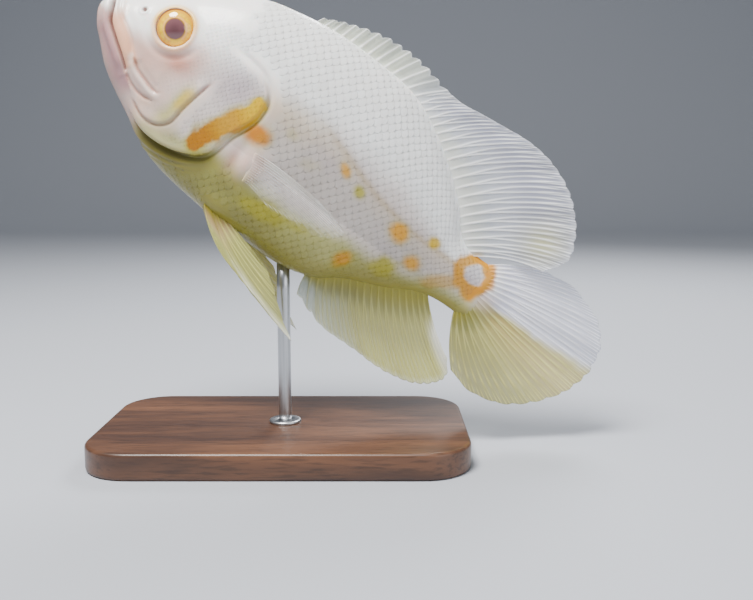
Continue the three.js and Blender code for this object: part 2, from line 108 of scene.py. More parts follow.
def ramp(tree, value, dark, light, start=0, end=1):
    """A mix from a dark to a light colour as a value rises from start to end."""
    node = tree.nodes.new("ShaderNodeValToRGB")
    for element, place, colour in zip(node.color_ramp.elements, (start, end), (dark, light)):
        element.position = place
        element.color = (*linear(*colour), 1)
    feed(tree, node, Fac=value)
    return node.outputs["Color"]


def plain_material(name, **values):
    """A new material whose Principled shader has the given socket values."""
    material = bpy.data.materials.new(name)
    material.use_nodes = True
    shader = material.node_tree.nodes["Principled BSDF"]
    feed(material.node_tree, shader, **values)
    return material, material.node_tree, shader


def stacked_rings(rings, closed_ends=True):
    """Faces between rings of equal count, one above the other, with a lid on each end."""
    count = len(rings[0])
    faces = []
    for r in range(len(rings) - 1):
        for k in range(count):
            n = (k + 1) % count
            faces.append((r * count + k, r * count + n, (r + 1) * count + n, (r + 1) * count + k))
    if closed_ends:
        faces.append(tuple(range(count))[::-1])
        faces.append(tuple(range((len(rings) - 1) * count, len(rings) * count)))
    return np.concatenate(rings), faces


wood, tree, shader = plain_material("Dark oiled wood", Coat_Weight=0.25, Coat_Roughness=0.25)
place = add_node(tree, "TexCoord", "Object")
stretch = add_node(tree, "Mapping", "Vector", Vector=place, Scale=(5, 46, 46))
figure = add_node(tree, "TexNoise", "Fac", Vector=stretch, Scale=1.6, Detail=6, Distortion=0.9)
pores = add_node(tree, "TexNoise", "Fac", Vector=stretch, Scale=16, Detail=3)
dark_pores = add_node(tree, "MapRange", "Result", Value=pores, From_Min=0.36, From_Max=0.5, To_Min=0.62)
colour = multiplied(tree, ramp(tree, figure, (52, 32, 22), (104, 68, 44), 0.3, 0.72), dark_pores)
sheen = add_node(tree, "MapRange", "Result", Value=figure, To_Min=0.34, To_Max=0.52)
relief = add_node(tree, "Bump", "Normal", Height=pores, Strength=0.25, Distance=0.0003)
feed(tree, shader, Base_Color=colour, Roughness=sheen, Normal=relief)


def plate_ring(inset, height, steps=14):
    """The plate's outline with round corners, drawn in by an inset, at a height."""
    half = np.array([(base_high.x - base_low.x) / 2 - inset, (base_high.y - base_low.y) / 2 - inset])
    middle = np.array([(base_high.x + base_low.x) / 2, (base_high.y + base_low.y) / 2])
    corner = BASE_CORNER - inset
    ring = []
    for quarter, (sx, sy) in enumerate(((1, 1), (-1, 1), (-1, -1), (1, -1))):
        x, y = middle + (half - corner) * (sx, sy)
        for turn in np.linspace(0, math.pi / 2, steps):
            angle = quarter * math.pi / 2 + turn
            ring.append((x + corner * math.cos(angle), y + corner * math.sin(angle), height))
    return np.array(ring)


edge = [
    (BASE_EDGE * (1 - math.sin(a)), BASE_EDGE * (1 - math.cos(a)))
    for a in np.linspace(0, math.pi / 2, 6)
]
rings = [plate_ring(inset, base_low.z + rise) for inset, rise in edge]
rings += [plate_ring(inset, base_high.z - rise) for inset, rise in edge[::-1]]
points, faces = stacked_rings(rings)
base = piece_of(add_mesh("stand_base_wood", points.tolist(), faces, wood), "stand_base")
base.data.polygons.foreach_set("use_smooth", [len(p.vertices) == 4 for p in base.data.polygons])

# The rod. A 6 mm rod of brushed steel, let into the base through a thin steel washer, with its top in
# the belly. It stands upright, within 3 mm of the fish's balance.
rod_low, rod_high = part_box("stand_rod")
rod_x, rod_y = (rod_low.x + rod_high.x) / 2, (rod_low.y + rod_high.y) / 2
ROD_RADIUS = (rod_high.x - rod_low.x) / 2
ROUND_STEPS = 48
WASHER_RADIUS = 0.0075
WASHER_THICK = 0.0014

steel, tree, shader = plain_material("Brushed steel", Metallic=1.0, Anisotropic=0.4)
place = add_node(tree, "TexCoord", "Object")
stretch = add_node(tree, "Mapping", "Vector", Vector=place, Scale=(1800, 1800, 30))
brushing = add_node(tree, "TexNoise", "Fac", Vector=stretch, Scale=1, Detail=4)
dull = add_node(tree, "MapRange", "Result", Value=brushing, To_Min=0.22, To_Max=0.42)
feed(tree, shader, Base_Color=ramp(tree, brushing, (160, 162, 166), (212, 214, 216)), Roughness=dull)


def turned(profile):
    """Rings round the rod's axis, from a (radius, height) profile."""
    angle = np.linspace(0, 2 * math.pi, ROUND_STEPS, endpoint=False)
    x, y = np.cos(angle), np.sin(angle)
    return [np.stack([rod_x + r * x, rod_y + r * y, np.full(ROUND_STEPS, h)], 1) for r, h in profile]


points, faces = stacked_rings(turned([(ROD_RADIUS, h) for h in np.linspace(rod_low.z, rod_high.z, 8)]))
rod = piece_of(add_mesh("stand_rod_steel", points.tolist(), faces, steel), "stand_rod")
top = base_high.z
washer_profile = [
    (ROD_RADIUS + 0.0001, top + 0.00002),
    (WASHER_RADIUS, top + 0.00002),
    (WASHER_RADIUS, top + WASHER_THICK * 0.6),
    (WASHER_RADIUS - 0.0003, top + WASHER_THICK * 0.9),
    (WASHER_RADIUS - 0.0008, top + WASHER_THICK),
    (ROD_RADIUS + 0.0004, top + WASHER_THICK),
    (ROD_RADIUS + 0.0001, top + WASHER_THICK * 0.8),
]
points, faces = stacked_rings(turned(washer_profile), closed_ends=False)
last = len(points) - ROUND_STEPS
for k in range(ROUND_STEPS):
    n = (k + 1) % ROUND_STEPS
    faces.append((last + k, last + n, n, k))
washer = piece_of(add_mesh("stand_washer", points.tolist(), faces, steel))

# The body's own shape. The fish is a deep, flat-sided swimmer, 210 mm from snout to tail root, head raised.
# It is drawn in its own frame in millimetres: x to the tail, y to its right, z to its back.
HEAD_UP = math.radians(36.54)
SNOUT_HEIGHT = 203
ROD_FOOT = 133
BODY_END = 218
NOSE_ROUND = 7
TAIL_SWING = 9
SWING_START = 120
SWING_END = 275
UPPER_FULLNESS = 1.9
LOWER_FULLNESS = 2.15


def curve_through(*places):
    """A smooth curve through places given as (at, value), level beyond its ends."""
    at, value = np.array(places, float).T
    low = np.maximum(np.arange(len(at)) - 1, 0)
    high = np.minimum(np.arange(len(at)) + 1, len(at) - 1)
    slope = (value[high] - value[low]) / (at[high] - at[low])

    def curve(x):
        x = np.clip(x, at[0], at[-1])
        i = np.clip(np.searchsorted(at, x, side="right") - 1, 0, len(at) - 2)
        span = at[i + 1] - at[i]
        t = (x - at[i]) / span
        start = (2 * t**3 - 3 * t**2 + 1) * value[i] + (t**3 - 2 * t**2 + t) * span * slope[i]
        return start + (3 * t**2 - 2 * t**3) * value[i + 1] + (t**3 - t**2) * span * slope[i + 1]

    return curve


def ease(low, high, x):
    """0 below low, 1 above high, and a smooth rise between; low may be the larger."""
    t = np.clip((x - low) / (high - low), 0, 1)
    return t * t * (3 - 2 * t)


back_line = curve_through(
    (0, 5.5), (13, 14), (35, 31), (55, 43.4), (68, 47.8), (90, 51.9), (112, 52.7),
    (135, 51), (157, 41.7), (180, 25.4), (190, 14.6), (200, 10.1), (BODY_END, 10.4),
)
belly_line = curve_through(
    (0, -6), (8, -13), (18, -22.6), (35, -32.6), (54, -42.4), (72, -46.2), (100, -48.1),
    (130, -47.9), (147, -43.4), (158, -35.8), (175, -28.2), (190, -20.4), (200, -18), (BODY_END, -17.6),
)
half_width = curve_through(
    (0, 9), (10, 11.6), (22, 15), (38, 17.8), (60, 20.6), (82, 21.8), (105, 21.3),
    (130, 18.6), (155, 14), (180, 9), (200, 6), (BODY_END, 4),
)


def section(x):
    """The body's middle height, its reach up, down and to the side at x."""
    nose = 1 - np.clip(x / NOSE_ROUND, 0, 1)
    tail = np.clip((x - BODY_END + 5) / 5, 0, 1)
    share = np.sqrt(np.maximum(1 - nose**2, 0)) * np.sqrt(np.maximum(1 - 0.9 * tail**2, 0))
    top, bottom = back_line(x), belly_line(x)
    return (top + bottom) / 2, (top - bottom) / 2 * share, half_width(x) * share


def side_of(x, z):
    """Half the body's width at a point of the side view."""
    middle, reach, side = section(x)
    t = np.clip(np.abs(z - middle) / reach, 0, 1)
    n = np.where(z > middle, UPPER_FULLNESS, LOWER_FULLNESS)
    return side * (1 - t**n) ** (1 / n)


foot_x = ROD_FOOT * math.cos(HEAD_UP) + float(belly_line(ROD_FOOT)) * math.sin(HEAD_UP)


def to_world(points):
    """Points of the fish's frame in millimetres, with the tail's swing, as places in metres."""
    x, y, z = np.moveaxis(np.asarray(points, float), -1, 0)
    t = np.maximum((x - SWING_START) / (SWING_END - SWING_START), 0)
    y = y + TAIL_SWING * t**2
    along = x * math.cos(HEAD_UP) + z * math.sin(HEAD_UP) - foot_x
    height = -x * math.sin(HEAD_UP) + z * math.cos(HEAD_UP) + SNOUT_HEIGHT
    return np.stack([along, y, height], -1) / 1000


def lattice(p, size, seed):
    """Smooth value noise from 0 to 1 at points, with lumps of about the given size."""
    q = np.asarray(p) / size + 500.5 + seed * 17.3
    cell = np.floor(q).astype(np.int64)
    f = q - cell
    f = f * f * (3 - 2 * f)
    total = 0
    for corner in range(8):
        bit = np.array([corner & 1, corner >> 1 & 1, corner >> 2 & 1])
        c = cell + bit
        mixed = (c[..., 0] * 374761393 + c[..., 1] * 668265263 + c[..., 2] * 2147483647 + seed * 982451653)
        mixed = (mixed ^ (mixed >> 13)) * 1274126177
        value = ((mixed ^ (mixed >> 16)) & 0xFFFF) / 65535
        total = total + value * np.prod(np.where(bit, f, 1 - f), -1)
    return total


def mottle(p, size, seed):
    """Noise of three octaves, from about -1 to 1."""
    total = sum(lattice(p, size / 2**k, seed + k) / 2**k for k in range(3))
    return total / 1.75 * 2 - 1


# The face and gill covers. Seen from the side: the mouth's line, the cheek's rear edge, the gill
# cover's edge, the eye's socket and the folds round them, which are raised in or sunk into the skin.
NEAR_LINE = 15


def smooth_line(places, pieces=48):
    """Points on a smooth line through places of the side view."""
    places = np.array(places, float)
    share = np.concatenate([[0], np.cumsum(np.hypot(*np.diff(places, axis=0).T))])
    share /= share[-1]
    t = np.linspace(0, 1, pieces + 1)
    return np.stack([curve_through(*zip(share, column))(t) for column in places.T], 1)


def beside(line, x, z):
    """Each point's distance from a line, positive on its left as it runs, and its share along it."""
    x, z = np.asarray(x, float), np.asarray(z, float)
    signed, share = np.full(x.shape, 1e3), np.zeros(x.shape)
    near = (x > line[:, 0].min() - NEAR_LINE) & (x < line[:, 0].max() + NEAR_LINE)
    near &= (z > line[:, 1].min() - NEAR_LINE) & (z < line[:, 1].max() + NEAR_LINE)
    px, pz = x[near], z[near]
    best, found, where = np.full(px.shape, np.inf), signed[near], share[near]
    for k in range(len(line) - 1):
        (ax, az), (bx, bz) = line[k], line[k + 1]
        dx, dz = bx - ax, bz - az
        t = np.clip(((px - ax) * dx + (pz - az) * dz) / (dx * dx + dz * dz), 0, 1)
        ox, oz = px - ax - t * dx, pz - az - t * dz
        d = np.hypot(ox, oz)
        closer = d < best
        best = np.where(closer, d, best)
        found = np.where(closer, d * np.sign(dx * oz - dz * ox), found)
        where = np.where(closer, (k + t) / (len(line) - 1), where)
    signed[near], share[near] = found, where
    return signed, share


mouth = smooth_line([
    (2.4, 8.6), (5.5, 5.8), (8, 2.4), (11.4, -3.6), (17.3, -8.1), (24.1, -12.9), (29.2, -17.4)])
lip_fold = smooth_line([(29.5, -10.2), (33, -13.2), (38.6, -15.2), (44.8, -16.6), (48, -15)])
jaw_fold = smooth_line([(29.2, -17.4), (34, -20.4), (41, -21.6), (47.5, -19.8)])
lip_top = smooth_line([(7.4, 9), (12, 2.4), (18.5, -1.2), (23.8, -4.9), (27.4, -9.4), (29.5, -12)])
cheek = smooth_line([
    (36, -24.6), (45.7, -28.3), (52.6, -27.6), (57.3, -23.2), (59, -14.5), (61.7, -3.7), (63.6, 3)])
cover = smooth_line([
    (62, 18.4), (72, 17.6), (80.4, 15.4), (86, 10), (87.2, 3), (85.8, -4), (82, -12), (80, -20),
    (77, -26), (70, -30.6), (60, -33.7), (50, -34.2), (42, -32), (36, -29),
])
EYE_X, EYE_Z = 36.6, 10.3
EYE_RADIUS, EYE_HALF_DEPTH, EYE_PROUD = 9, 6.2, 3.1
SOCKET = 8
NOSTRIL_X, NOSTRIL_Z = 20.5, 9.2
flank_line = smooth_line([
    (88, 12), (110, 15.6), (122, 12.8), (144.5, 5.6), (158, 2.8), (174, 0.8), (196, 0.7)])


def bell(distance, width):
    """1 at no distance, falling off smoothly over about a width."""
    return np.exp(-((distance / width) ** 2))


def spot(x, z, at_x, at_z, size, long=1, high=1):
    """A bell round a place of the side view, made longer and higher by the last two."""
    return bell(np.hypot((x - at_x) / long, (z - at_z) / high), size)


def face_relief(x, z):
    """How far the skin stands above the plain body, in millimetres, over the side view."""
    h = np.zeros(x.shape)
    d, s = beside(mouth, x, z)
    fade = ease(1.0, 0.8, s)
    h += fade * np.where(d > 0, 1.25 * bell(d - 2.7, 2.5), 1.35 * bell(d + 2.3, 2.1)) * (1 - 0.3 * s)
    h -= (4.4 - 2.6 * s) * bell(d, 0.8 - 0.3 * s) * ease(1.02, 0.95, s)
    d, s = beside(lip_top, x, z)
    h -= 0.95 * bell(d, 0.9) * ease(0, 0.12, s) * ease(1, 0.75, s)
    h -= 0.35 * bell(d - 2.6, 2.2) * ease(0, 0.12, s) * ease(1, 0.75, s)
    d, s = beside(lip_fold, x, z)
    ends = ease(0, 0.15, s) * ease(1, 0.75, s)
    h += ends * (0.6 * bell(d + 1.8, 1.7) - 1.0 * bell(d, 0.75) - 0.4 * bell(d - 1.8, 1.8))
    d, s = beside(jaw_fold, x, z)
    ends = ease(0, 0.1, s) * ease(1, 0.7, s)
    h += ends * (-0.85 * bell(d, 0.8) - 0.25 * bell(d + 3, 2))
    d, s = beside(cheek, x, z)
    ends = ease(0, 0.1, s) * ease(1, 0.85, s)
    h += ends * (0.55 * bell(np.maximum(d, 0) - 1.2, 2.6) * (d > -0.4) - 0.75 * bell(d + 0.2, 0.75))
    d, s = beside(cover, x, z)
    ends = ease(0, 0.12, s) * ease(1, 0.9, s)
    inner = ease(-1.1, -0.1, -d)
    slot = (1.3 + 1.0 * ease(0.6, 0.75, s)) * bell(d - 1.2, 1.3)
    h += ends * (1.25 * inner * bell(np.minimum(d, 0) + 0.4, 7) - slot)
    r = np.hypot(x - EYE_X, z - EYE_Z)
    h = np.where(r < SOCKET + 3, h * ease(SOCKET - 1, SOCKET + 3, r), h)
    h += 1.05 * bell(r - SOCKET - 0.9, 1.15) + 0.35 * bell(r - SOCKET - 2.6, 1.8)
    h -= 0.5 * bell(r - SOCKET - 4.6, 1.6) * ease(0, 6, EYE_Z - z)
    h -= 4.5 * ease(SOCKET + 0.05, SOCKET - 0.75, r)
    r = np.hypot(x - NOSTRIL_X, (z - NOSTRIL_Z) * 0.8)
    h += 0.35 * bell(r - 1.5, 0.6) - 1.6 * bell(r, 0.85)
    return h


def body_relief(x, z):
    """The flank's long groove, the fin roots' fleshy pads and the gill membranes' rays."""
    d, s = beside(flank_line, x, z)
    h = -0.5 * bell(d, 3.6) * ease(0, 0.15, s) * ease(1, 0.85, s)
    h += 1.5 * spot(x, z, 95.5, -18, 5, high=1.5)
    h -= 0.6 * spot(x, z, 90, -16, 3, high=2.2)
    h += 1.1 * spot(x, z, 92, -43, 4.5, long=1.8)
    d, s = beside(cover, x, z)
    ribs = 0.5 + 0.5 * np.cos(2 * math.pi * (d - 1.8) / 2.3)
    h += 0.4 * ribs * ease(1.4, 2.4, d) * ease(9.5, 7, d) * ease(0.6, 0.72, s) * ease(0.98, 0.9, s)
    return h


# The skin. One closed skin over head, jaw, gill covers, trunk and tail stalk: moist, white on the back
# and milky on the flanks, lemon to olive below, flushed on the face, with orange blotches. Its colours
# also hold painted shade in creases and pits, and painted highlights on the back and the gill cover's edge.
SKIN_RINGS = 372
SKIN_AROUND = 330
CAP_RINGS = 26
SECTION_STEPS = 1440
COAT_DEPTH = 0.18

WHITE = linear(252, 250, 246)
MILK = linear(226, 212, 204)
ROSE = linear(208, 178, 166)
GREY_ROSE = linear(186, 172, 176)
FLANK = linear(176, 167, 158)
TAN = linear(204, 180, 146)
BEIGE = linear(226, 178, 150)
# Red-brown painted shade for creases, pits, the eye socket and the hollows round eye and pectoral root.
SHADE_RED_BROWN = linear(168, 104, 84)
MAUVE = linear(174, 138, 140)
LEMON = linear(174, 170, 96)
OLIVE = linear(134, 126, 64)
PALE_LEMON = linear(200, 194, 152)
SHADOW = linear(98, 92, 52)
ORANGE = linear(210, 146, 36)
AMBER = linear(168, 108, 20)
SAND = linear(186, 138, 60)
RED_ORANGE = linear(184, 118, 46)
YELLOW = linear(212, 172, 40)
GREEN_YELLOW = linear(168, 158, 56)
PUPIL_MAUVE = linear(106, 72, 76)

# Blotches: x, z, half-length, half-height, tilt in degrees, colour, strength.
BLOTCHES = (
    (92.4, -5.2, 5.2, 4.8, 20, RED_ORANGE, 0.92), (130.7, 5.7, 2.2, 3.7, 50, ORANGE, 0.75),
    (141.2, 1.4, 2.5, 2.9, 40, GREEN_YELLOW, 0.8), (165.8, -2.8, 4.8, 4.4, -20, ORANGE, 0.92),
    (179.3, -10.5, 4.1, 3.7, 10, ORANGE, 0.85), (169.9, -18.6, 5.8, 4.2, 36, GREEN_YELLOW, 0.85),
    (153, -27, 3.5, 4.9, -36, ORANGE, 0.9), (181.9, 3.3, 3.1, 2.6, 0, YELLOW, 0.85),
    (111.7, -30.7, 9.5, 4, 10, GREEN_YELLOW, 0.85), (127.4, -26.9, 5, 2.6, 10, GREEN_YELLOW, 0.5),
    (57.5, -11, 3, 7, -10, YELLOW, 0.42), (210.6, 8, 2.8, 2.8, 0, YELLOW, 0.9),
    (194.8, -9.7, 9.5, 3.4, 36, SAND, 0.6), (209.4, -6.1, 4, 3.6, 20, ORANGE, 0.9),
    (104, 4, 3, 2.4, 0, GREEN_YELLOW, 0.2), (117, -2, 4, 3, 30, GREEN_YELLOW, 0.16),
)
cover_band = smooth_line([(71.5, -24.4), (73.4, -19), (76.8, -12.4), (80.4, -6.4), (83.8, -0.6), (86, 5.4)])
OCELLUS_X, OCELLUS_Z = 206, 1.8


def lay(colour, paint, weight):
    """Paint laid over colours, by a weight from 0 to 1 at each point."""
    return colour + (paint - colour) * np.clip(weight, 0, 1)[..., None]


def vivid(colour, much=1.18):
    """Colours drawn away from grey by a factor."""
    grey = (colour @ np.array([0.2126, 0.7152, 0.0722]))[..., None]
    return np.clip(grey + (colour - grey) * much, 0.004, 1)


def markings(p):
    """The colour of skin and scales at points of the fish's frame, painted shade and highlights included.
    """
    x, y, z = np.moveaxis(p, -1, 0)
    middle, reach, _ = section(np.clip(x, 1, BODY_END - 1))
    r = (z - middle) / reach
    wide, fine = mottle(p, 26, 3), mottle(p, 5, 9)
    over, along_flank = beside(flank_line, x, z)
    c = np.broadcast_to(MILK, p.shape).copy()
    c = lay(c, FLANK, (0.62 + 0.3 * wide) * ease(76, 96, x) * ease(3, -5, over) * ease(214, 196, x))
    c = lay(c, GREY_ROSE, 0.5 * ease(0.1, 0.9, mottle(p, 19, 13)) * ease(70, 96, x))
    c = lay(c, ROSE, (0.72 + 0.28 * mottle(p, 15, 21)) * ease(66, 40, x))
    # Painted tan shade behind the gill cover's upper rear corner.
    c = lay(c, TAN, 0.7 * spot(x, z, 98, 14, 10, long=1.8) * (1 + 0.5 * fine))
    # The back's pale colour, painted up to white where the light from above washes it out: partly painted
    # light.
    c = lay(c, WHITE, ease(0.06, 0.42, r + 0.1 * wide + 0.2 * ease(60, 30, x)))
    chest = ease(34, 66, x) * ease(150, 104, x)
    edge = np.interp(
        x, [30, 60, 80, 100, 119, 146, 167, 190, 210], [-34, -31, -23, -24, -25, -20.5, -19, -14, -12])
    below = ease(2.5, -4.5, z - edge + 3 * wide + 1.2 * fine)
    c = lay(c, PALE_LEMON, 0.8 * ease(7, -2, z - edge + 3 * wide) * ease(40, 70, x))
    c = lay(c, TAN * 0.9, 0.32 * ease(0, 1, mottle(p, 8, 77)) * ease(100, 80, x) * ease(14, 4, z))
    c = lay(c, LEMON, below * (0.75 + 0.2 * chest) * ease(28, 60, x))
    under = ease(-0.45, -0.9, r + 0.25 * mottle(p, 18, 31))
    c = lay(c, OLIVE, under * (0.5 + 0.4 * chest) * ease(36, 60, x))
    # Painted olive shadow between the gill cover's lower rear edge and the pectoral root.
    c = lay(c, OLIVE, 0.7 * spot(x, z, 93, -30, 8, long=1.3) * (1 + 0.5 * wide))
    c = lay(c, ROSE, 0.75 * spot(x, z, 94.5, -17, 4.5, 0.7, 1.6))
    # Painted shade in the hollow in front of the pectoral root.
    c = lay(c, SHADE_RED_BROWN, 0.5 * spot(x, z, 88.5, -20, 3.6, 0.8, 1.7))
    from_eye = np.hypot(x - EYE_X, z - EYE_Z)
    # Painted shade under the eye, behind it and below its front.
    c = lay(c, SHADE_RED_BROWN, 0.7 * spot(x, z, 46, -0.5, 6.2, 1.25, 0.8) * ease(8, 12, from_eye))
    c = lay(c, SHADE_RED_BROWN, 0.4 * spot(x, z, 51, 6, 6.5) + 0.25 * spot(x, z, 33, -5, 6, long=1.5))
    c = lay(c, GREY_ROSE, 0.85 * spot(x, z, 74, 6, 10, long=1.2))
    d, s = beside(mouth, x, z)
    c = lay(c, MAUVE, 0.9 * ease(-0.3, -1.6, d) * ease(-13, -4, d) * ease(0.1, 0.5, s) * ease(52, 30, x))
    c = lay(c, BEIGE, 0.95 * ease(0.2, 1.2, d) * ease(8, 5, d) * ease(0.1, 0.4, s) * ease(1, 0.93, s))
    c = lay(c, WHITE, 0.6 * ease(0.32, 0.1, s) * (np.abs(d) < 6))
    # Painted shade in the mouth's deep crease.
    c = lay(c, linear(104, 56, 52), 0.85 * bell(d, 0.75) * ease(1.02, 0.95, s))
    d, s = beside(lip_fold, x, z)
    # Pale along the lip fold's ridge, partly its colour and partly a painted highlight; painted shade in
    # its crease.
    c = lay(c, MILK, 0.6 * bell(d + 1.7, 1.3) * ease(1, 0.8, s))
    c = lay(c, SHADE_RED_BROWN * 0.8, 0.7 * bell(d, 0.6) * ease(1, 0.8, s))
    d, s = beside(jaw_fold, x, z)
    # Painted shade in the jaw fold's crease.
    c = lay(c, SHADE_RED_BROWN, 0.45 * bell(d, 0.8) * ease(1, 0.7, s))
    d, s = beside(cheek, x, z)
    # Painted shade in the cheek's crease.
    c = lay(c, SHADE_RED_BROWN * 0.7, 0.6 * bell(d + 0.3, 0.7) * ease(0, 0.1, s) * ease(1, 0.9, s))
    c = lay(c, LEMON, 0.65 * bell(d - 3, 3.4) * ease(0.2, 0.45, s) * ease(0.9, 0.7, s))
    # Painted shade along the flank's long groove.
    c = lay(c, TAN * 0.75, 0.6 * bell(over, 1.7) * ease(0.1, 0.4, along_flank) + 0.25 * bell(over + 3, 4))
    d, s = beside(cover, x, z)
    rim = ease(0.16, 0.3, s) * ease(0.98, 0.85, s)
    # Pale lemon inside the gill cover's lower margin: partly its colour, partly a painted highlight along
    # the edge.
    c = lay(c, PALE_LEMON, 0.8 * rim * ease(0.62, 0.72, s) * bell(d + 2.2, 2.4))
    c = lay(c, SHADOW, 0.9 * rim * ease(0.5, 0.62, s) * bell(np.maximum(d - 1.5, 0), 4.6) * (d > -0.1))
    # Painted highlight along the gill cover's rear edge.
    c = lay(c, WHITE, 0.45 * rim * ease(0.5, 0.36, s) * bell(d + 0.5, 0.6))
    wobble = 0.38 * mottle(p, 5, 44) + 0.2 * fine
    d, s = beside(cover_band, x, z)
    width = np.interp(s, [0, 0.2, 0.5, 0.8, 1], [3.9, 4.7, 4.6, 4.3, 3.2])
    inside = ease(1.2, 0.72, np.abs(d) / width + 1.2 * wobble + 0.2 * mottle(p, 2.2, 15))
    band = AMBER + (SAND - AMBER) * ease(0.15, 0.5, s)[..., None]
    band = band + (YELLOW - SAND) * ease(0.6, 0.95, s)[..., None]
    c = lay(c, GREEN_YELLOW, 0.5 * ease(1.7, 1, np.abs(d) / width + wobble))
    c = c + (band - c) * (0.95 * inside)[..., None]
    spot_x = x + np.where(y > 0, 4.5 * np.sin(0.11 * z + 1), 0)
    spot_z = z + np.where(y > 0, 3.5 * np.sin(0.07 * x), 0)
    for bx, bz, long, high, tilt, paint, strength in BLOTCHES:
        turn = math.radians(tilt)
        u = ((spot_x - bx) * math.cos(turn) + (spot_z - bz) * math.sin(turn)) / long
        v = (-(spot_x - bx) * math.sin(turn) + (spot_z - bz) * math.cos(turn)) / high
        c = lay(c, GREEN_YELLOW, 0.3 * strength * ease(1.7, 0.9, np.hypot(u, v) + wobble))
        c = lay(c, paint, strength * ease(1.35, 0.5, np.hypot(u, v) + wobble))
    ring = np.hypot(x - OCELLUS_X, (z - OCELLUS_Z) * 0.95)
    ring = ring + 1.8 * mottle(p, 7, 61) + 1.5 * mottle(p, 3.5, 66)
    orange = ORANGE * (0.88 + 0.12 * wide)[..., None]
    c = lay(c, orange, 0.95 * ease(11.6, 8.6, ring) * ease(2.8, 5.6, ring))
    c = lay(c, GREY_ROSE * 0.85, 0.7 * ease(5.2, 2.8, ring))
    c = lay(c, linear(244, 200, 160), 0.8 * bell(from_eye - SOCKET - 0.9, 1.3))
    above = ease(-3, 5, z - EYE_Z + 0.5 * (EYE_X - x))
    c = lay(c, linear(240, 190, 60), 0.75 * bell(from_eye - SOCKET - 0.7, 1.5) * above)
    # Painted shade in the eye's socket and the nostril's pit.
    c = lay(c, SHADE_RED_BROWN * 0.5, ease(SOCKET + 0.2, SOCKET - 0.6, from_eye))
    c = lay(c, SHADE_RED_BROWN * 0.5, 0.85 * ease(1.3, 0.6, np.hypot(x - NOSTRIL_X, z - NOSTRIL_Z)))
    return vivid(c * (1 + 0.035 * fine)[..., None])


run = np.linspace(0, 1, SKIN_RINGS - CAP_RINGS, endpoint=False)
ring_x = np.concatenate([
    NOSE_ROUND * (1 - np.cos(np.linspace(0.03, math.pi / 3, CAP_RINGS, endpoint=False))),
    NOSE_ROUND / 2 + (BODY_END - NOSE_ROUND / 2) * (0.5 * run + 0.5 * run * run),
])
turn = np.linspace(0, 2 * math.pi, SECTION_STEPS + 1)
cos, sin = np.cos(turn), np.sin(turn)
fullness = np.where(cos > 0, UPPER_FULLNESS, LOWER_FULLNESS)
out = np.sign(sin) * np.abs(sin) ** (2 / fullness)
rise = np.sign(cos) * np.abs(cos) ** (2 / fullness)
share = np.linspace(0, 1, SKIN_AROUND, endpoint=False)
plain = np.zeros((len(ring_x), SKIN_AROUND, 3))
perimeter = np.zeros(len(ring_x))
for i, x in enumerate(ring_x):
    middle, reach, side = section(x)
    y, z = side * out, middle + reach * rise
    length = np.concatenate([[0], np.cumsum(np.hypot(np.diff(y), np.diff(z)))])
    perimeter[i] = length[-1]
    plain[i, :, 0] = x
    plain[i, :, 1] = np.interp(share * length[-1], length, y)
    plain[i, :, 2] = np.interp(share * length[-1], length, z)


def grid_normals(grid):
    """Outward unit normals of a body grid whose second direction closes on itself."""
    along = np.gradient(grid, axis=0)
    around = np.roll(grid, -1, 1) - np.roll(grid, 1, 1)
    n = np.cross(along, around)
    return n / np.maximum(np.linalg.norm(n, axis=-1, keepdims=True), 1e-9)


outward = grid_normals(plain)
px, py, pz = np.moveaxis(plain, -1, 0)
lift = face_relief(px, pz) + body_relief(px, pz) + 0.1 * mottle(plain, 9, 5) - COAT_DEPTH
lift *= ease(-0.3, 1.2, px) * 0.5 + 0.5
skin_grid = plain + outward * lift[..., None]
skin_out = grid_normals(skin_grid)


def grid_quads(down, over):
    """Faces of a grid of points, row by row."""
    i, j = np.meshgrid(np.arange(down - 1), np.arange(over - 1), indexing="ij")
    a = (i * over + j).ravel()
    return np.stack([a, a + over, a + over + 1, a + 1], 1)


def closed_grid(grid, first, last):
    """Points and faces of a closed skin over rings, with its two end points, and its unwrap."""
    rings, around = grid.shape[:2]
    points = np.concatenate([grid.reshape(-1, 3), [first, last]])
    r, k = np.meshgrid(np.arange(rings - 1), np.arange(around), indexing="ij")
    a, b = r * around + k, r * around + (k + 1) % around
    quads = np.stack([a, a + around, b + around, b], -1).reshape(-1, 4)
    k = np.arange(around)
    n, end = (k + 1) % around, (rings - 1) * around
    ends = np.concatenate([
        np.stack([k, n, np.full(around, rings * around)], 1),
        np.stack([n + end, k + end, np.full(around, rings * around + 1)], 1),
    ])
    u, v = np.meshgrid(np.arange(rings) / rings, np.arange(around) / around, indexing="ij")
    unwrap = np.concatenate([np.stack([u, v], -1).reshape(-1, 2), [[0, 0.5], [1, 0.5]]])
    return points, quads, ends, unwrap


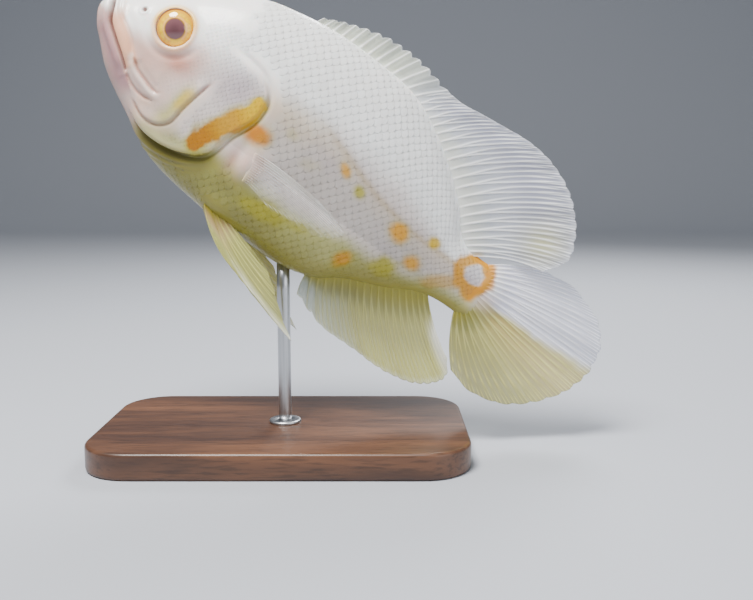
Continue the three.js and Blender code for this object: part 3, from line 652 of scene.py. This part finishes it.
def fish_piece(name, points, quads, triangles, unwrap, colours, material, node=None, solid=None):
    """A mesh piece from points of the fish's frame, with its unwrap, its colours and how solid it is."""
    mesh = add_mesh(name, to_world(points).tolist(), quads.tolist() + triangles.tolist(), material)
    corner = np.zeros(len(mesh.loops), int)
    mesh.loops.foreach_get("vertex_index", corner)
    uv = unwrap[corner]
    split = quads.size
    across = uv[:split].reshape(-1, 4, 2)
    wraps = np.ptp(across[..., 1], axis=1) > 0.5
    across[wraps, :, 1] += across[wraps, :, 1] < 0.5
    uv[:split] = across.reshape(-1, 2)
    layer = mesh.uv_layers.new(name="OFBake")
    layer.data.foreach_set("uv", (uv * 0.99).astype(np.float32).ravel())
    rgba = np.concatenate([colours, np.ones((len(colours), 1))], 1).astype(np.float32)
    mesh.attributes.new("colour", "FLOAT_COLOR", "POINT").data.foreach_set("color", rgba.ravel())
    if solid is not None:
        mesh.attributes.new("solid", "FLOAT", "POINT").data.foreach_set("value", solid.astype(np.float32))
    return piece_of(mesh, node)


# Noise breakup that skin, scales, eyes and fins share: a fine mottle of colour, and a fine grain for
# gloss and relief.
tissue = bpy.data.node_groups.new("Living tissue", "ShaderNodeTree")
for label, way, kind in (
    ("Colour", "INPUT", "Color"), ("Grain size", "INPUT", "Float"), ("Mottle", "INPUT", "Float"),
    ("Gloss low", "INPUT", "Float"), ("Gloss high", "INPUT", "Float"),
    ("Colour", "OUTPUT", "Color"), ("Roughness", "OUTPUT", "Float"), ("Height", "OUTPUT", "Float"),
):
    tissue.interface.new_socket(label, in_out=way, socket_type="NodeSocket" + kind)
given, result = tissue.nodes.new("NodeGroupInput").outputs, tissue.nodes.new("NodeGroupOutput")
place = add_node(tissue, "TexCoord", "Object")
grain = add_node(tissue, "TexNoise", "Fac", Vector=place, Scale=given["Grain size"], Detail=5)
patches = add_node(tissue, "TexNoise", "Fac", Vector=place, Scale=140, Detail=4)
brightness = add_node(
    tissue, "MapRange", "Result", Value=patches, From_Min=0.3, From_Max=0.7,
    To_Min=given["Mottle"], To_Max=1)
gloss = add_node(
    tissue, "MapRange", "Result", Value=grain, From_Min=0.3, From_Max=0.7,
    To_Min=given["Gloss low"], To_Max=given["Gloss high"])
tone = multiplied(tissue, given["Colour"], brightness)
feed(tissue, result, Colour=tone, Roughness=gloss, Height=grain)


def tissue_material(name, grain_size, mottle_low, gloss_low, gloss_high, bump, **values):
    """A material of living tissue: the piece's own colours, broken up, over a shader of given values."""
    material, tree, shader = plain_material(name, **values)
    group = tree.nodes.new("ShaderNodeGroup")
    group.node_tree = tissue
    colour = add_node(tree, "Attribute", "Color", {"attribute_name": "colour"})
    feed(tree, group, Colour=colour, Grain_size=grain_size, Mottle=mottle_low)
    feed(tree, group, Gloss_low=gloss_low, Gloss_high=gloss_high)
    out = group.outputs
    relief = add_node(tree, "Bump", "Normal", Height=out["Height"], Strength=bump, Distance=0.0002)
    feed(tree, shader, Base_Color=out["Colour"], Roughness=out["Roughness"], Normal=relief)
    return material


skin_look = tissue_material(
    "Moist skin", grain_size=900, mottle_low=0.95, gloss_low=0.3, gloss_high=0.46, bump=0.35,
    Subsurface_Weight=0.3, Subsurface_Radius=(1, 0.5, 0.35), Subsurface_Scale=0.0035,
    Coat_Weight=0.3, Coat_Roughness=0.14, IOR=1.38,
)
nose = plain[0].mean(0)
nose[0] = skin_grid[0, :, 0].min() - 0.05
stern = plain[-1].mean(0)
stern[0] = BODY_END
points, quads, triangles, unwrap = closed_grid(skin_grid, nose, stern)
skin_nodes = ("head", "lower_jaw", "gill_cover_left", "gill_cover_right", "trunk", "tail_stalk")
skin = fish_piece("skin", points, quads, triangles, unwrap, markings(points), skin_look, skin_nodes)

# The scales. Thin round plates set in rows like roof tiles, each rooted in the skin at its front and a
# little proud at its rear edge: large on the flanks, smaller towards nape and tail, and smallest on the
# cheeks and gill covers. The paired fins' roots have none here.
PLATE_A = np.array([0, 0.3, 0.56, 0.78, 0.92, 1])
PLATE_B = np.array([-1, -0.82, -0.46, 0, 0.46, 0.82, 1])
PLATE_SUNK = 0.16
PATCH_SIZE = 0.003
ROW = 5.0
COLUMN = 3.9
draw = np.random.default_rng(7)
gill_back = curve_through(
    (-46, 56), (-34, 60), (-29, 74), (-23, 80.5), (-13, 84), (-4, 88.5), (7, 89.5), (15, 84),
    (20, 72), (30, 60), (50, 56),
)


def on_skin(x, share):
    """Points and directions of the skin at x, and at a share of the way round it from the back's middle."""
    r = np.clip(np.interp(x, ring_x, np.arange(len(ring_x))), 0, len(ring_x) - 1.001)
    k = share * SKIN_AROUND
    r0, k0 = np.floor(r).astype(int), np.floor(k).astype(int)
    part_r, part_k = (r - r0)[..., None], (k - k0)[..., None]
    k1 = (k0 + 1) % SKIN_AROUND
    k0 = k0 % SKIN_AROUND
    found = []
    for grid in (skin_grid, skin_out):
        near = grid[r0, k0] * (1 - part_k) + grid[r0, k1] * part_k
        far = grid[r0 + 1, k0] * (1 - part_k) + grid[r0 + 1, k1] * part_k
        found.append(near * (1 - part_r) + far * part_r)
    return found[0], found[1], np.stack([r / len(ring_x), share % 1], -1)


def scale_rows(row, column, keep, start, end, flatness):
    """Places of scales in staggered rows, on both sides, where the skin is flat: x, share, size."""
    places = []
    x, i = start, 0
    deepest = perimeter.max() / 2
    while x < end:
        half = np.interp(x, ring_x, perimeter) / 2
        size = 0.5 + 0.5 * half / deepest
        rows = np.arange(-60, 61) + 0.5 * (i % 2)
        w = half / 2 + rows * row * size
        w = w[(w > 1.0) & (w < half - 1.0)]
        for share in (w / half / 2, 1 - w / half / 2):
            places.append(np.stack([np.full(len(w), x), share, np.full(len(w), size)], 1))
        x += column * size * 0.55
        i += 1
    places = np.concatenate(places)
    x, share = places[:, 0], places[:, 1]
    surface, facing, _ = on_skin(x, share)
    kept = keep(surface[:, 0], surface[:, 2])
    for dx, dw in ((row / 2, 0), (-row / 2, 0), (0, row / 2), (0, -row / 2)):
        _, beyond, _ = on_skin(x + dx, share + dw / np.interp(x, ring_x, perimeter))
        kept &= (beyond * facing).sum(-1) > flatness
    return places[kept]


def scale_piece(name, places, length, width, proud):
    """One mesh of all the scales at the places, as closed little plates that follow the skin."""
    n = len(places)
    a, b = np.meshgrid(PLATE_A, PLATE_B, indexing="ij")
    round_end = np.sqrt(np.maximum(1 - np.clip((a - 0.42) / 0.6, 0, 1) ** 2, 0))
    spread = np.where(a < 0.42, 0.78 + 0.22 * np.sin(a / 0.42 * math.pi / 2), round_end)
    size = places[:, 2] * draw.uniform(0.9, 1.08, n)
    x = places[:, 0, None, None] + (a - 0.4) * length * size[:, None, None]
    toward = np.where(places[:, 1] < 0.5, 1, -1)
    across = width / 2 * size * toward / np.interp(places[:, 0], ring_x, perimeter)
    surface, normal, _ = on_skin(x, places[:, 1, None, None] + b * spread * across[:, None, None])
    flatter = (0.3 + 0.7 * ease(50, 68, places[:, 0]))[:, None, None]
    crown = -0.1 + (0.1 + proud * flatter) * ease(0, 0.75, a) - 0.05 * b * b - 0.02 * ease(0.9, 1, a)
    jitter = draw.uniform(0.75, 1.2, n)[:, None, None]
    top = surface + normal * (crown * jitter)[..., None]
    down, over = len(PLATE_A), len(PLATE_B)
    rim = [(i, 0) for i in range(down)] + [(down - 1, j) for j in range(1, over)]
    rim += [(i, over - 1) for i in range(down - 2, -1, -1)] + [(0, j) for j in range(over - 2, 0, -1)]
    ri, rj = np.array(rim).T
    m, plate = len(rim), down * over
    skirt = surface[:, ri, rj] - normal[:, ri, rj] * PLATE_SUNK
    points = np.concatenate([top.reshape(n, plate, 3), skirt], 1).reshape(-1, 3)
    loop = ri * over + rj
    k = np.arange(m)
    wall = np.stack([loop, plate + k, plate + (k + 1) % m, loop[(k + 1) % m]], 1)
    floor = np.stack([np.full(m - 2, plate), plate + k[2:], plate + k[1:-1]], 1)
    first = (np.arange(n) * (plate + m))[:, None, None]
    quads, triangles = np.concatenate([grid_quads(down, over), wall]) + first, floor + first
    for faces in (quads, triangles):
        faces[toward < 0] = faces[toward < 0][..., ::-1]
    _, _, root = on_skin(places[:, 0], places[:, 1])
    patch_uv = np.concatenate([
        np.stack([a, (b + 1) / 2], -1).reshape(-1, 2),
        np.stack([PLATE_A[ri], (PLATE_B[rj] + 1) / 2], -1),
    ])
    unwrap = (root[:, None] + (patch_uv - 0.5) * PATCH_SIZE).reshape(-1, 2) * 0.98 + 0.01
    shade = np.repeat(draw.uniform(0.95, 1.03, n), plate + m)[:, None]
    tint = np.clip(markings(points) * shade, 0, 1)
    quads, triangles = quads.reshape(-1, 4), triangles.reshape(-1, 3)
    return fish_piece(name, points, quads, triangles, unwrap, tint, scale_look)


scale_look = tissue_material(
    "Scales", grain_size=1500, mottle_low=0.96, gloss_low=0.24, gloss_high=0.4, bump=0.15,
    Subsurface_Weight=0.25, Subsurface_Radius=(1, 0.6, 0.45), Subsurface_Scale=0.002,
    Coat_Weight=0.4, Coat_Roughness=0.12, IOR=1.42,
)


def on_trunk(x, z):
    """Where the flanks' scales grow: behind the gill cover, and clear of the paired fins' roots."""
    pectoral = np.hypot((x - 94) / 1.0, (z + 18) / 1.5) > 8
    pelvic = np.hypot((x - 92) / 1.8, z + 43) > 5
    ragged = 3 * np.sin(z * 1.7 + x) + 2 * np.sin(z * 0.7)
    return (x > gill_back(z) + np.where(z < 18, 1.2, ragged)) & pectoral & pelvic


def on_head(x, z):
    """Where the head's scales grow: on cheek and gill cover, clear of the folds and the eye."""
    clear = np.hypot(x - EYE_X, z - EYE_Z) > SOCKET + 4.5
    for line, room in ((cheek, 1.6), (cover, 1.8), (lip_fold, 2.4)):
        clear &= np.abs(beside(line, x, z)[0]) > room
    ahead = x < gill_back(z) - 0.8 - 2.7 * (z < 18)
    return clear & ahead & (x > 40 + 0.15 * (z + 20)) & (z > -31) & (z < 26)


trunk_rows = scale_rows(ROW, COLUMN, on_trunk, start=48, end=209, flatness=0.95)
for word, near_side in (("right", trunk_rows[:, 1] < 0.5), ("left", trunk_rows[:, 1] >= 0.5)):
    trunk_scales = scale_piece(
        "scales_trunk_" + word, trunk_rows[near_side], length=6.5, width=5.9, proud=0.06)
head_rows = scale_rows(ROW * 0.58, COLUMN * 0.62, on_head, start=42, end=86, flatness=0.98)
head_scales = scale_piece("scales_head", head_rows, length=4.0, width=3.4, proud=0.035)

# The eyes. A wet flattened ball in each socket: a mauve-brown pupil with a pale ring round it, then a
# golden iris streaked outward, with a bright wedge below the pupil, partly iris and partly a painted
# reflection, and a darker rim.
EYE_RINGS = 90
EYE_AROUND = 128


def painted(points, first, *coats):
    """Colours over points: a first one, and coats laid over it, each a colour and its weight."""
    paint = np.broadcast_to(linear(*first), points.shape)
    for colour, weight in coats:
        paint = lay(paint, colour if isinstance(colour, np.ndarray) else linear(*colour), weight)
    return paint


eye_look = tissue_material(
    "Wet eye", grain_size=2500, mottle_low=0.93, gloss_low=0.05, gloss_high=0.1, bump=0.05,
    Coat_Weight=1.0, Coat_Roughness=0.02, Specular_IOR_Level=0.5, IOR=1.38)
eye_y = float(side_of(EYE_X, EYE_Z)) + EYE_PROUD - EYE_HALF_DEPTH
from_axis = np.linspace(0.01, 0.94 * math.pi, EYE_RINGS)
angle = np.linspace(0, 2 * math.pi, EYE_AROUND, endpoint=False)
fa, an = np.meshgrid(from_axis, angle, indexing="ij")
for side, word in ((-1, "left"), (1, "right")):
    ball = np.stack([
        EYE_X + EYE_RADIUS * np.sin(fa) * np.cos(an),
        side * (eye_y + EYE_HALF_DEPTH * np.cos(fa)),
        EYE_Z + EYE_RADIUS * np.sin(fa) * np.sin(an),
    ], -1)
    front, back = side * (eye_y + EYE_HALF_DEPTH), side * (eye_y - EYE_HALF_DEPTH * 0.985)
    points, quads, triangles, unwrap = closed_grid(ball, (EYE_X, front, EYE_Z), (EYE_X, back, EYE_Z))
    if side > 0:
        quads, triangles = quads[:, ::-1], triangles[:, ::-1]
    dx, dz = points[:, 0] - EYE_X - 0.8, points[:, 2] - EYE_Z + 0.1
    r, bearing = np.hypot(dx * 1.04, dz), np.arctan2(dz, dx)
    streak = mottle(np.stack([np.cos(bearing) * 9, np.sin(bearing) * 9, r * 0.6], -1), 1.1, 12)
    # The wedge below the pupil: brighter yellow iris, partly a painted reflection.
    wedge = ease(0.6, 0.34, np.abs(bearing + 0.9)) * ease(4.2, 4.8, r) * ease(7.4, 6.2, r)
    c = painted(
        points, (228, 176, 0),
        ((252, 216, 20), ease(-0.5, 0.5, streak)),
        ((212, 150, 10), 0.8 * ease(6.2, 7.8, r + 0.5 * streak)),
        ((246, 186, 120), 0.9 * bell(r - 5, 0.65)),
        ((255, 214, 10), wedge),
        ((96, 54, 42), 0.8 * bell(r - 4.3, 0.32)),
        (PUPIL_MAUVE * (0.8 + 0.3 * ease(0, 4, r))[:, None], ease(4.35, 4.05, r)),
        ((120, 74, 40), ease(7.9, 8.5, r)),
    )
    eye = fish_piece(
        "eye_" + word + "_wet", points, quads, triangles, unwrap, vivid(c, 1.12), eye_look, "eye_" + word)

# The fins. Each is one thin skin over bony rays that show as ridges on both faces: stiff spines in
# front, then soft rays of many joints that fork twice on their way to the edge. Fleshy roots sit in
# the body.
RAY_JOINT = 1.15
NO_FACES = np.zeros((0, 3), int)


def forks(fraction, t):
    """Distance in ray spacings to the nearest branch of a soft ray that forks twice."""
    one = 0.25 * ease(0.1, 0.55, t)
    two = 0.12 * ease(0.6, 1.05, t)
    offsets = [one + two, one - two, -one + two, -one - two]
    return np.min([np.abs(fraction - o) for o in offsets], axis=0)


def fin_piece(node, shape, rays, per_ray, rows, colour, look, root_flesh, flesh_share, see_through,
              spines=0, dip=0.015, spine_dip=0.12, ridge=0.5, flesh_round=0.0, bone_width=0.42,
              ruffle=0.5, root_tint=0.9, bone_solid=0.9, strength=None):
    """A fin from shape(ray, share), which gives points of its middle sheet in the fish's frame."""
    name = node + "_skin"
    c = np.linspace(0, rays - 1, (rays - 1) * per_ray + 1)
    t = np.linspace(0, 1, rows + 1) ** 0.92
    C, T = np.meshgrid(c, t, indexing="ij")
    fraction = C - np.round(C)
    soft = ease(spines - 1.2, spines - 0.4, C) if spines else np.ones(C.shape)
    sag = 1 - np.abs(np.cos(math.pi * C)) ** 0.8
    edge_noise = mottle(np.stack([C * 3, C * 0, C * 0], -1), 0.9, len(name))
    reach = 1 - sag * (dip * soft + spine_dip * (1 - soft)) - 0.006 * edge_noise * soft
    sheet = shape(C, T * reach)
    span = np.linalg.norm(np.gradient(sheet, axis=0), axis=-1) * per_ray
    steps = np.linalg.norm(np.diff(sheet, axis=1), axis=-1)
    length = np.concatenate([np.zeros((len(c), 1)), np.cumsum(steps, 1)], 1)
    apart = np.where(soft > 0.5, forks(fraction, T), np.abs(fraction)) * span
    thick = bone_width * (1 - 0.48 * T) * (1 + 0.5 * (1 - soft))
    bone = np.exp(-((apart / thick) ** 2))
    beads = (0.5 + 0.5 * np.cos(2 * math.pi * length / RAY_JOINT)) ** 3
    joints = 1 - 0.16 * soft * ease(0.2, 0.35, T) * beads
    height = ridge * (1 - 0.72 * T) * bone * joints * ease(-0.02, 0.14, T)
    flesh = (1 - ease(0, flesh_share, T)) ** 1.5 * (1 - flesh_round * (2 * C / (rays - 1) - 1) ** 2)
    half = 0.17 - 0.07 * T + height + root_flesh * flesh
    half *= 1 - 0.6 * ease(0.985, 1, T)
    normal = np.cross(np.gradient(sheet, axis=0), np.gradient(sheet, axis=1))
    normal /= np.maximum(np.linalg.norm(normal, axis=-1, keepdims=True), 1e-9)
    wave = ruffle * T**1.5 * (np.sin(C * 1.3 + 0.7) + 0.6 * np.sin(C * 2.9 + T * 3))
    wave = wave + 0.22 * sag * T * np.sin(C * 9)
    sheet = sheet + normal * wave[..., None]
    front, back = sheet - normal * half[..., None], sheet + normal * half[..., None]
    n, rows1 = len(c), rows + 1
    points = np.concatenate([front.reshape(-1, 3), back.reshape(-1, 3)])
    shift = n * rows1
    face = grid_quads(n, rows1)
    quads = [face[:, ::-1], face + shift]
    along, down = np.arange(n) * rows1, np.arange(rows1)
    for edge, order in ((along, 1), (along + rows, -1), (down, -1), (down + along[-1], 1)):
        a, b = edge[:-1], edge[1:]
        quads.append(np.stack([a, b, b + shift, a + shift], 1)[:, ::order])
    face = np.stack([C / (rays - 1) * 0.98 + 0.01, T * 0.48 + 0.01], -1).reshape(-1, 2)
    unwrap = np.concatenate([face, face + [0, 0.5]])
    from_root = root_tint * ease(flesh_share * 0.75, flesh_share * 0.15, T)
    paint = lay(colour(C, T, bone, sheet), markings(sheet), from_root)
    skin_solid = np.maximum(see_through[0] + (see_through[1] - see_through[0]) * T, 0)
    solid = 1 - (1 - skin_solid) * (1 - bone_solid * bone)
    if strength:
        solid = solid * strength(C)
    solid = np.maximum(solid, 1 - ease(0, flesh_share, T)).ravel()
    paint, solid = np.concatenate([vivid(paint.reshape(-1, 3))] * 2), np.concatenate([solid] * 2)
    return fish_piece(name, points, np.concatenate(quads), NO_FACES, unwrap, paint, look, node, solid)


def fin_material(name):
    """Fin skin: living tissue that lets the background through where it is thin."""
    look = tissue_material(
        name, grain_size=1300, mottle_low=0.95, gloss_low=0.32, gloss_high=0.5, bump=0.2,
        Subsurface_Weight=0.35, Subsurface_Radius=(1, 0.85, 0.7), Subsurface_Scale=0.002,
        Coat_Weight=0.15, Coat_Roughness=0.2, IOR=1.38)
    solid = add_node(look.node_tree, "Attribute", "Fac", {"attribute_name": "solid"})
    feed(look.node_tree, look.node_tree.nodes["Principled BSDF"], Alpha=solid)
    return look


clear_fin = fin_material("Milky fin")
lemon_fin = fin_material("Lemon fin")


def ray_sheet(root, tip, bow, lean):
    """A sheet of rays between root(c) and tip(c), each x, z and y, with their bow and sideways lean."""

    def shape(c, t):
        rx, rz, ry = root(c)
        tx, tz, ty = tip(c)
        dx, dz = tx - rx, tz - rz
        off = bow(c) * 4 * t * (1 - t)
        y = ry + (ty - ry) * t + lean(c) * t * t
        return np.stack([rx + dx * t - dz * off, y, rz + dz * t + dx * off], -1)

    return shape


def edge_through(*places):
    """A smooth curve through a fin's ray tips, given as (ray, x, z), in the fish's middle plane."""
    ray, x, z = zip(*places)
    curve_x, curve_z = curve_through(*zip(ray, x)), curve_through(*zip(ray, z))
    return lambda c: (curve_x(c), curve_z(c), 0 * c)


# The back fin. Thirteen spines with serrated tips, then twenty soft rays that fan out to a round lobe;
# milky, with smoky gaps between the rays and a lemon flush near its last root.
DORSAL_RAYS = 33
dorsal_root = curve_through((0, 80), (12, 134), (18, 156), (25, 181), (29, 191), (32, 199))
dorsal_tip = edge_through(
    (0, 83, 53.4), (3, 96, 59.4), (6, 112, 63.8), (9, 128, 64.4), (13, 152, 60.6), (16, 170, 62.8),
    (19, 190, 65.2), (22, 208, 62.8), (25, 223, 55), (28, 233.5, 44), (30, 237.5, 33), (32, 231.5, 22))
dorsal_shape = ray_sheet(
    lambda c: (dorsal_root(c), back_line(dorsal_root(c)) - 3, 0 * c),
    dorsal_tip,
    lambda c: 0.02 + 0.03 * ease(12, 14, c),
    lambda c: -3.5 * ease(14, 28, c),
)


def dorsal_colour(c, t, bone, sheet):
    return painted(
        sheet, (196, 200, 206),
        ((158, 161, 180), 0.85 * ease(0.2, 0.7, t) * (1 - bone) * ease(10, 15, c)),
        ((200, 206, 184), 0.7 * ease(14, 8, c)),
        ((216, 212, 140), 0.55 * spot(sheet[..., 0], sheet[..., 2], 224, 32, 10)),
        ((184, 190, 176), 0.7 * ease(0.3, 0.1, t) * ease(12, 18, c)),
        ((250, 250, 248), 0.9 * bone),
        ((238, 240, 246), 0.5 * ease(0.93, 1, t)),
    )


dorsal = fin_piece(
    "dorsal_fin", dorsal_shape, DORSAL_RAYS, per_ray=11, rows=84, colour=dorsal_colour, look=clear_fin,
    root_flesh=1.9, flesh_share=0.42, see_through=(0.95, 0.42), spines=13, root_tint=0.4)

# The anal fin. Three spines, then sixteen soft rays; olive at the root, lemon green in the middle,
# smoky at the spines, and white along its rear edge.
ANAL_RAYS = 19
anal_root = curve_through((0, 143), (3, 151), (12, 178), (18, 193))
anal_tip = edge_through(
    (0, 145.5, -54.2), (2, 161, -59.3), (5, 180, -59.8), (9, 200, -59.5), (12, 213.5, -56.3),
    (15, 223, -49), (17, 224.4, -42.5), (18, 220, -36.5))
anal_shape = ray_sheet(
    lambda c: (anal_root(c), belly_line(anal_root(c)) + 3, 0 * c),
    anal_tip,
    lambda c: -0.05 + 0 * c,
    lambda c: -4 * ease(4, 16, c),
)


def anal_colour(c, t, bone, sheet):
    return painted(
        sheet, (154, 154, 100),
        ((186, 186, 112), 0.8 * ease(0.5, 0.9, t) * ease(3, 9, c)),
        ((160, 174, 176), 0.75 * ease(7, 1, c + 2 * mottle(sheet, 14, 52)) * ease(0.15, 0.5, t)),
        ((132, 130, 78), 0.8 * ease(0.45, 0.15, t) * ease(1, 4, c)),
        ((192, 190, 142), 0.55 * bone),
        ((240, 240, 232), 0.85 * ease(15.8, 18, c) * ease(0.3, 0.6, t)),
        ((222, 226, 196), 0.5 * ease(0.92, 1, t)),
    )


anal = fin_piece(
    "anal_fin", anal_shape, ANAL_RAYS, per_ray=12, rows=70, colour=anal_colour, look=lemon_fin,
    root_flesh=1.6, flesh_share=0.4, see_through=(0.94, 0.55), spines=3, spine_dip=0.1)

# The tail fin. A round fan of eighteen rays: smoky white above and lemon below, its upper half curled
# away.
TAIL_RAYS = 18
tail_tip = edge_through(
    (0, 234, 23), (2, 253, 24.6), (4, 269, 19.4), (6, 278, 9.4), (8, 281, -2.5), (10, 278, -15),
    (12, 270, -28), (14, 256.5, -39), (16, 238, -43.6), (17, 225, -40.4))


def tail_curl(c):
    """How far the tip of a ray leans to the side: the upper half one way, the lower a little the other."""
    t = c / (TAIL_RAYS - 1)
    return 5 * ease(0.5, 0, t) - 2.5 * ease(0.5, 1, t)


tail_shape = ray_sheet(
    lambda c: (209 + 1.5 * np.sin(math.pi * c / (TAIL_RAYS - 1)), 9.4 - 26 * c / (TAIL_RAYS - 1), 0 * c),
    tail_tip,
    lambda c: 0.05 * (1 - 2 * c / (TAIL_RAYS - 1)),
    tail_curl,
)


def tail_colour(c, t, bone, sheet):
    lower = ease(8.2, 9.4, c + 0.7 * ease(0.2, 1, t) + 0.3 * mottle(sheet, 8, 71))
    return painted(
        sheet, (224, 224, 236),
        ((190, 196, 214), 0.5 * ease(0.4, 1, t) * (1 - bone)),
        ((184, 180, 110), 0.95 * lower),
        ((214, 212, 150), 0.8 * lower * ease(0.35, 0.8, t) * ease(13, 9.5, c)),
        ((130, 130, 78), 0.8 * ease(10.5, 15, c + 0.5 * mottle(sheet, 10, 91))),
        ((176, 146, 96), 0.5 * lower * (1 - bone) * ease(13, 10, c)),
        ((246, 246, 250), 0.8 * bone * (1 - lower)),
        ((216, 212, 156), 0.6 * bone * lower),
    )


tail = fin_piece(
    "tail_fin", tail_shape, TAIL_RAYS, per_ray=14, rows=84, colour=tail_colour, look=lemon_fin,
    root_flesh=4.2, flesh_share=0.34, see_through=(0.95, 0.6), flesh_round=0.8, ruffle=0.7)

# The pectoral fins. Fourteen fine rays from an upright fleshy root behind each gill cover, in a clear
# skin, held back along the flank.
PECTORAL_RAYS = 14
pectoral_edge = edge_through(
    (0, 137, -12.6), (3, 146, -16.2), (7, 142, -22.4), (10, 131, -26.4), (13, 114, -27.6))


def pectoral_colour(c, t, bone, sheet):
    blush = ((222, 186, 170), 0.9 * ease(0.25, 0.05, t))
    return painted(sheet, (206, 204, 192), blush, ((250, 250, 248), 0.95 * bone))


for side, word in ((-1, "left"), (1, "right")):
    def pectoral_root(c, side=side):
        t = c / (PECTORAL_RAYS - 1)
        x, z = 95.5 + 2.5 * t, -11.5 - 13 * t
        return x, z, side * (side_of(x, z) - 0.6)

    def pectoral_tip(c, side=side):
        x, z, _ = pectoral_edge(c)
        return x, z, side * (29.5 - 2.5 * c / (PECTORAL_RAYS - 1))

    shape = ray_sheet(
        pectoral_root, pectoral_tip, lambda c: 0.03 + 0 * c, lambda c, side=side: -1.5 * side + 0 * c)
    pectoral = fin_piece(
        "pectoral_fin_" + word, shape, PECTORAL_RAYS, per_ray=10, rows=60,
        colour=pectoral_colour, look=clear_fin,
        root_flesh=1.5, flesh_share=0.16, see_through=(0.14, 0.05), ridge=0.3, bone_width=0.2,
        ruffle=0.25, bone_solid=0.6, strength=lambda c: 0.24 + 0.76 * bell(c - 1.5, 2.2))

# The pelvic fins. One spine and five soft rays under the chest, the first soft ray drawn out into a
# white thread; pink at the root and lemon green behind.
PELVIC_RAYS = 6
PELVIC_TIP_X = (112, 156, 143, 136, 129, 120)
PELVIC_TIP_Z = (-58.4, -70.6, -62, -56, -51.6, -48.9)


def pelvic_colour(c, t, bone, sheet):
    return painted(
        sheet, (168, 168, 112),
        ((206, 168, 140), 0.8 * ease(0.4, 0.05, t)),
        ((212, 208, 140), 0.6 * bone),
        ((244, 244, 226), 0.95 * bell(c - 1, 0.3) * ease(0.3, 0.7, t)),
    )


for side, word, spread in ((-1, "left", 14), (1, "right", 12.5)):
    def pelvic_root(c, side=side):
        t = c / (PELVIC_RAYS - 1)
        x = 87 + 14 * t
        return x, belly_line(x) + 4, side * (8.5 - 2.5 * t)

    def pelvic_tip(c, side=side, spread=spread):
        rays = np.arange(PELVIC_RAYS)
        y = side * (spread - 3.5 * c / (PELVIC_RAYS - 1))
        return np.interp(c, rays, PELVIC_TIP_X), np.interp(c, rays, PELVIC_TIP_Z), y

    shape = ray_sheet(
        pelvic_root, pelvic_tip,
        lambda c: -0.07 * (1 - c / (PELVIC_RAYS - 1)), lambda c, side=side: side + 0 * c)
    pelvic = fin_piece(
        "pelvic_fin_" + word, shape, PELVIC_RAYS, per_ray=18, rows=76,
        colour=pelvic_colour, look=lemon_fin,
        root_flesh=1.5, flesh_share=0.3, see_through=(0.95, 0.7), ridge=0.55, ruffle=0.2, dip=0.03)

# The table and backdrop. A plain pale sheet that curves up behind the model, and is no part of it.
SHEET_HALF = 8.0
SHEET_FRONT = -8.0
SHEET_BACK = 1.6
SHEET_ROUND = 0.7
SHEET_TOP = 3.2
pale, _, _ = plain_material("Pale paper", Roughness=0.85, Base_Color=(*linear(172, 176, 184), 1))
profile = [(SHEET_FRONT, 0.0), (SHEET_BACK, 0.0)]
for a in np.linspace(0, math.pi / 2, 17)[1:]:
    profile.append((SHEET_BACK + SHEET_ROUND * math.sin(a), SHEET_ROUND * (1 - math.cos(a))))
profile.append((SHEET_BACK + SHEET_ROUND, SHEET_TOP))
sheet_points = [(x, y, z) for y, z in profile for x in (-SHEET_HALF, SHEET_HALF)]
sheet_faces = [(2 * k, 2 * k + 1, 2 * k + 3, 2 * k + 2) for k in range(len(profile) - 1)]
backdrop = add_object("backdrop", add_mesh("backdrop", sheet_points, sheet_faces, pale))

# The light. A large soft light from above and in front, a weaker one from the right, one behind, and a
# dim room.
model_middle = Vector((0.02, 0.0, 0.12))


def soft_light(name, place, size, power, colour=(1, 1, 1)):
    """A round soft light that faces the model's middle."""
    lamp = bpy.data.lights.new(name, "AREA")
    lamp.shape = "DISK"
    lamp.size = size
    lamp.energy = power
    lamp.color = colour
    holder = add_object(name, lamp)
    holder.location = place
    holder.rotation_euler = (model_middle - Vector(place)).to_track_quat("-Z", "Y").to_euler()


soft_light("key", (-0.22, -0.36, 1.0), size=0.45, power=27, colour=(1.0, 0.98, 0.95))
soft_light("fill", (0.8, -0.7, 0.35), size=0.8, power=4, colour=(0.95, 0.97, 1.0))
soft_light("rim", (0.35, 0.7, 0.75), size=0.5, power=10)
room = bpy.data.worlds.new("room")
room.use_nodes = True
feed(room.node_tree, room.node_tree.nodes["Background"], Color=(0.8, 0.84, 0.9, 1), Strength=0.36)
bpy.context.scene.world = room

# The camera. It looks at the fish's left side from a little above, as in the photo, and keeps its
# framing.
CAMERA_BACK = 0.40405
CAMERA_RIGHT = 0.12171
CAMERA_BELOW = 0.07619
CAMERA_LENS = 42
CAMERA_SENSOR = 36
CAMERA_DOWN = math.radians(8)
snout = Vector(to_world(np.array([0.0, 0, 0])))
view = bpy.data.cameras.new("camera")
view.lens = CAMERA_LENS
view.sensor_width = CAMERA_SENSOR
view.clip_start = 0.01
camera = add_object("camera", view)
camera.location = snout + Vector((CAMERA_RIGHT, -CAMERA_BACK, -CAMERA_BELOW))
camera.rotation_euler = (math.pi / 2 - CAMERA_DOWN, 0, 0)
bpy.context.scene.camera = camera
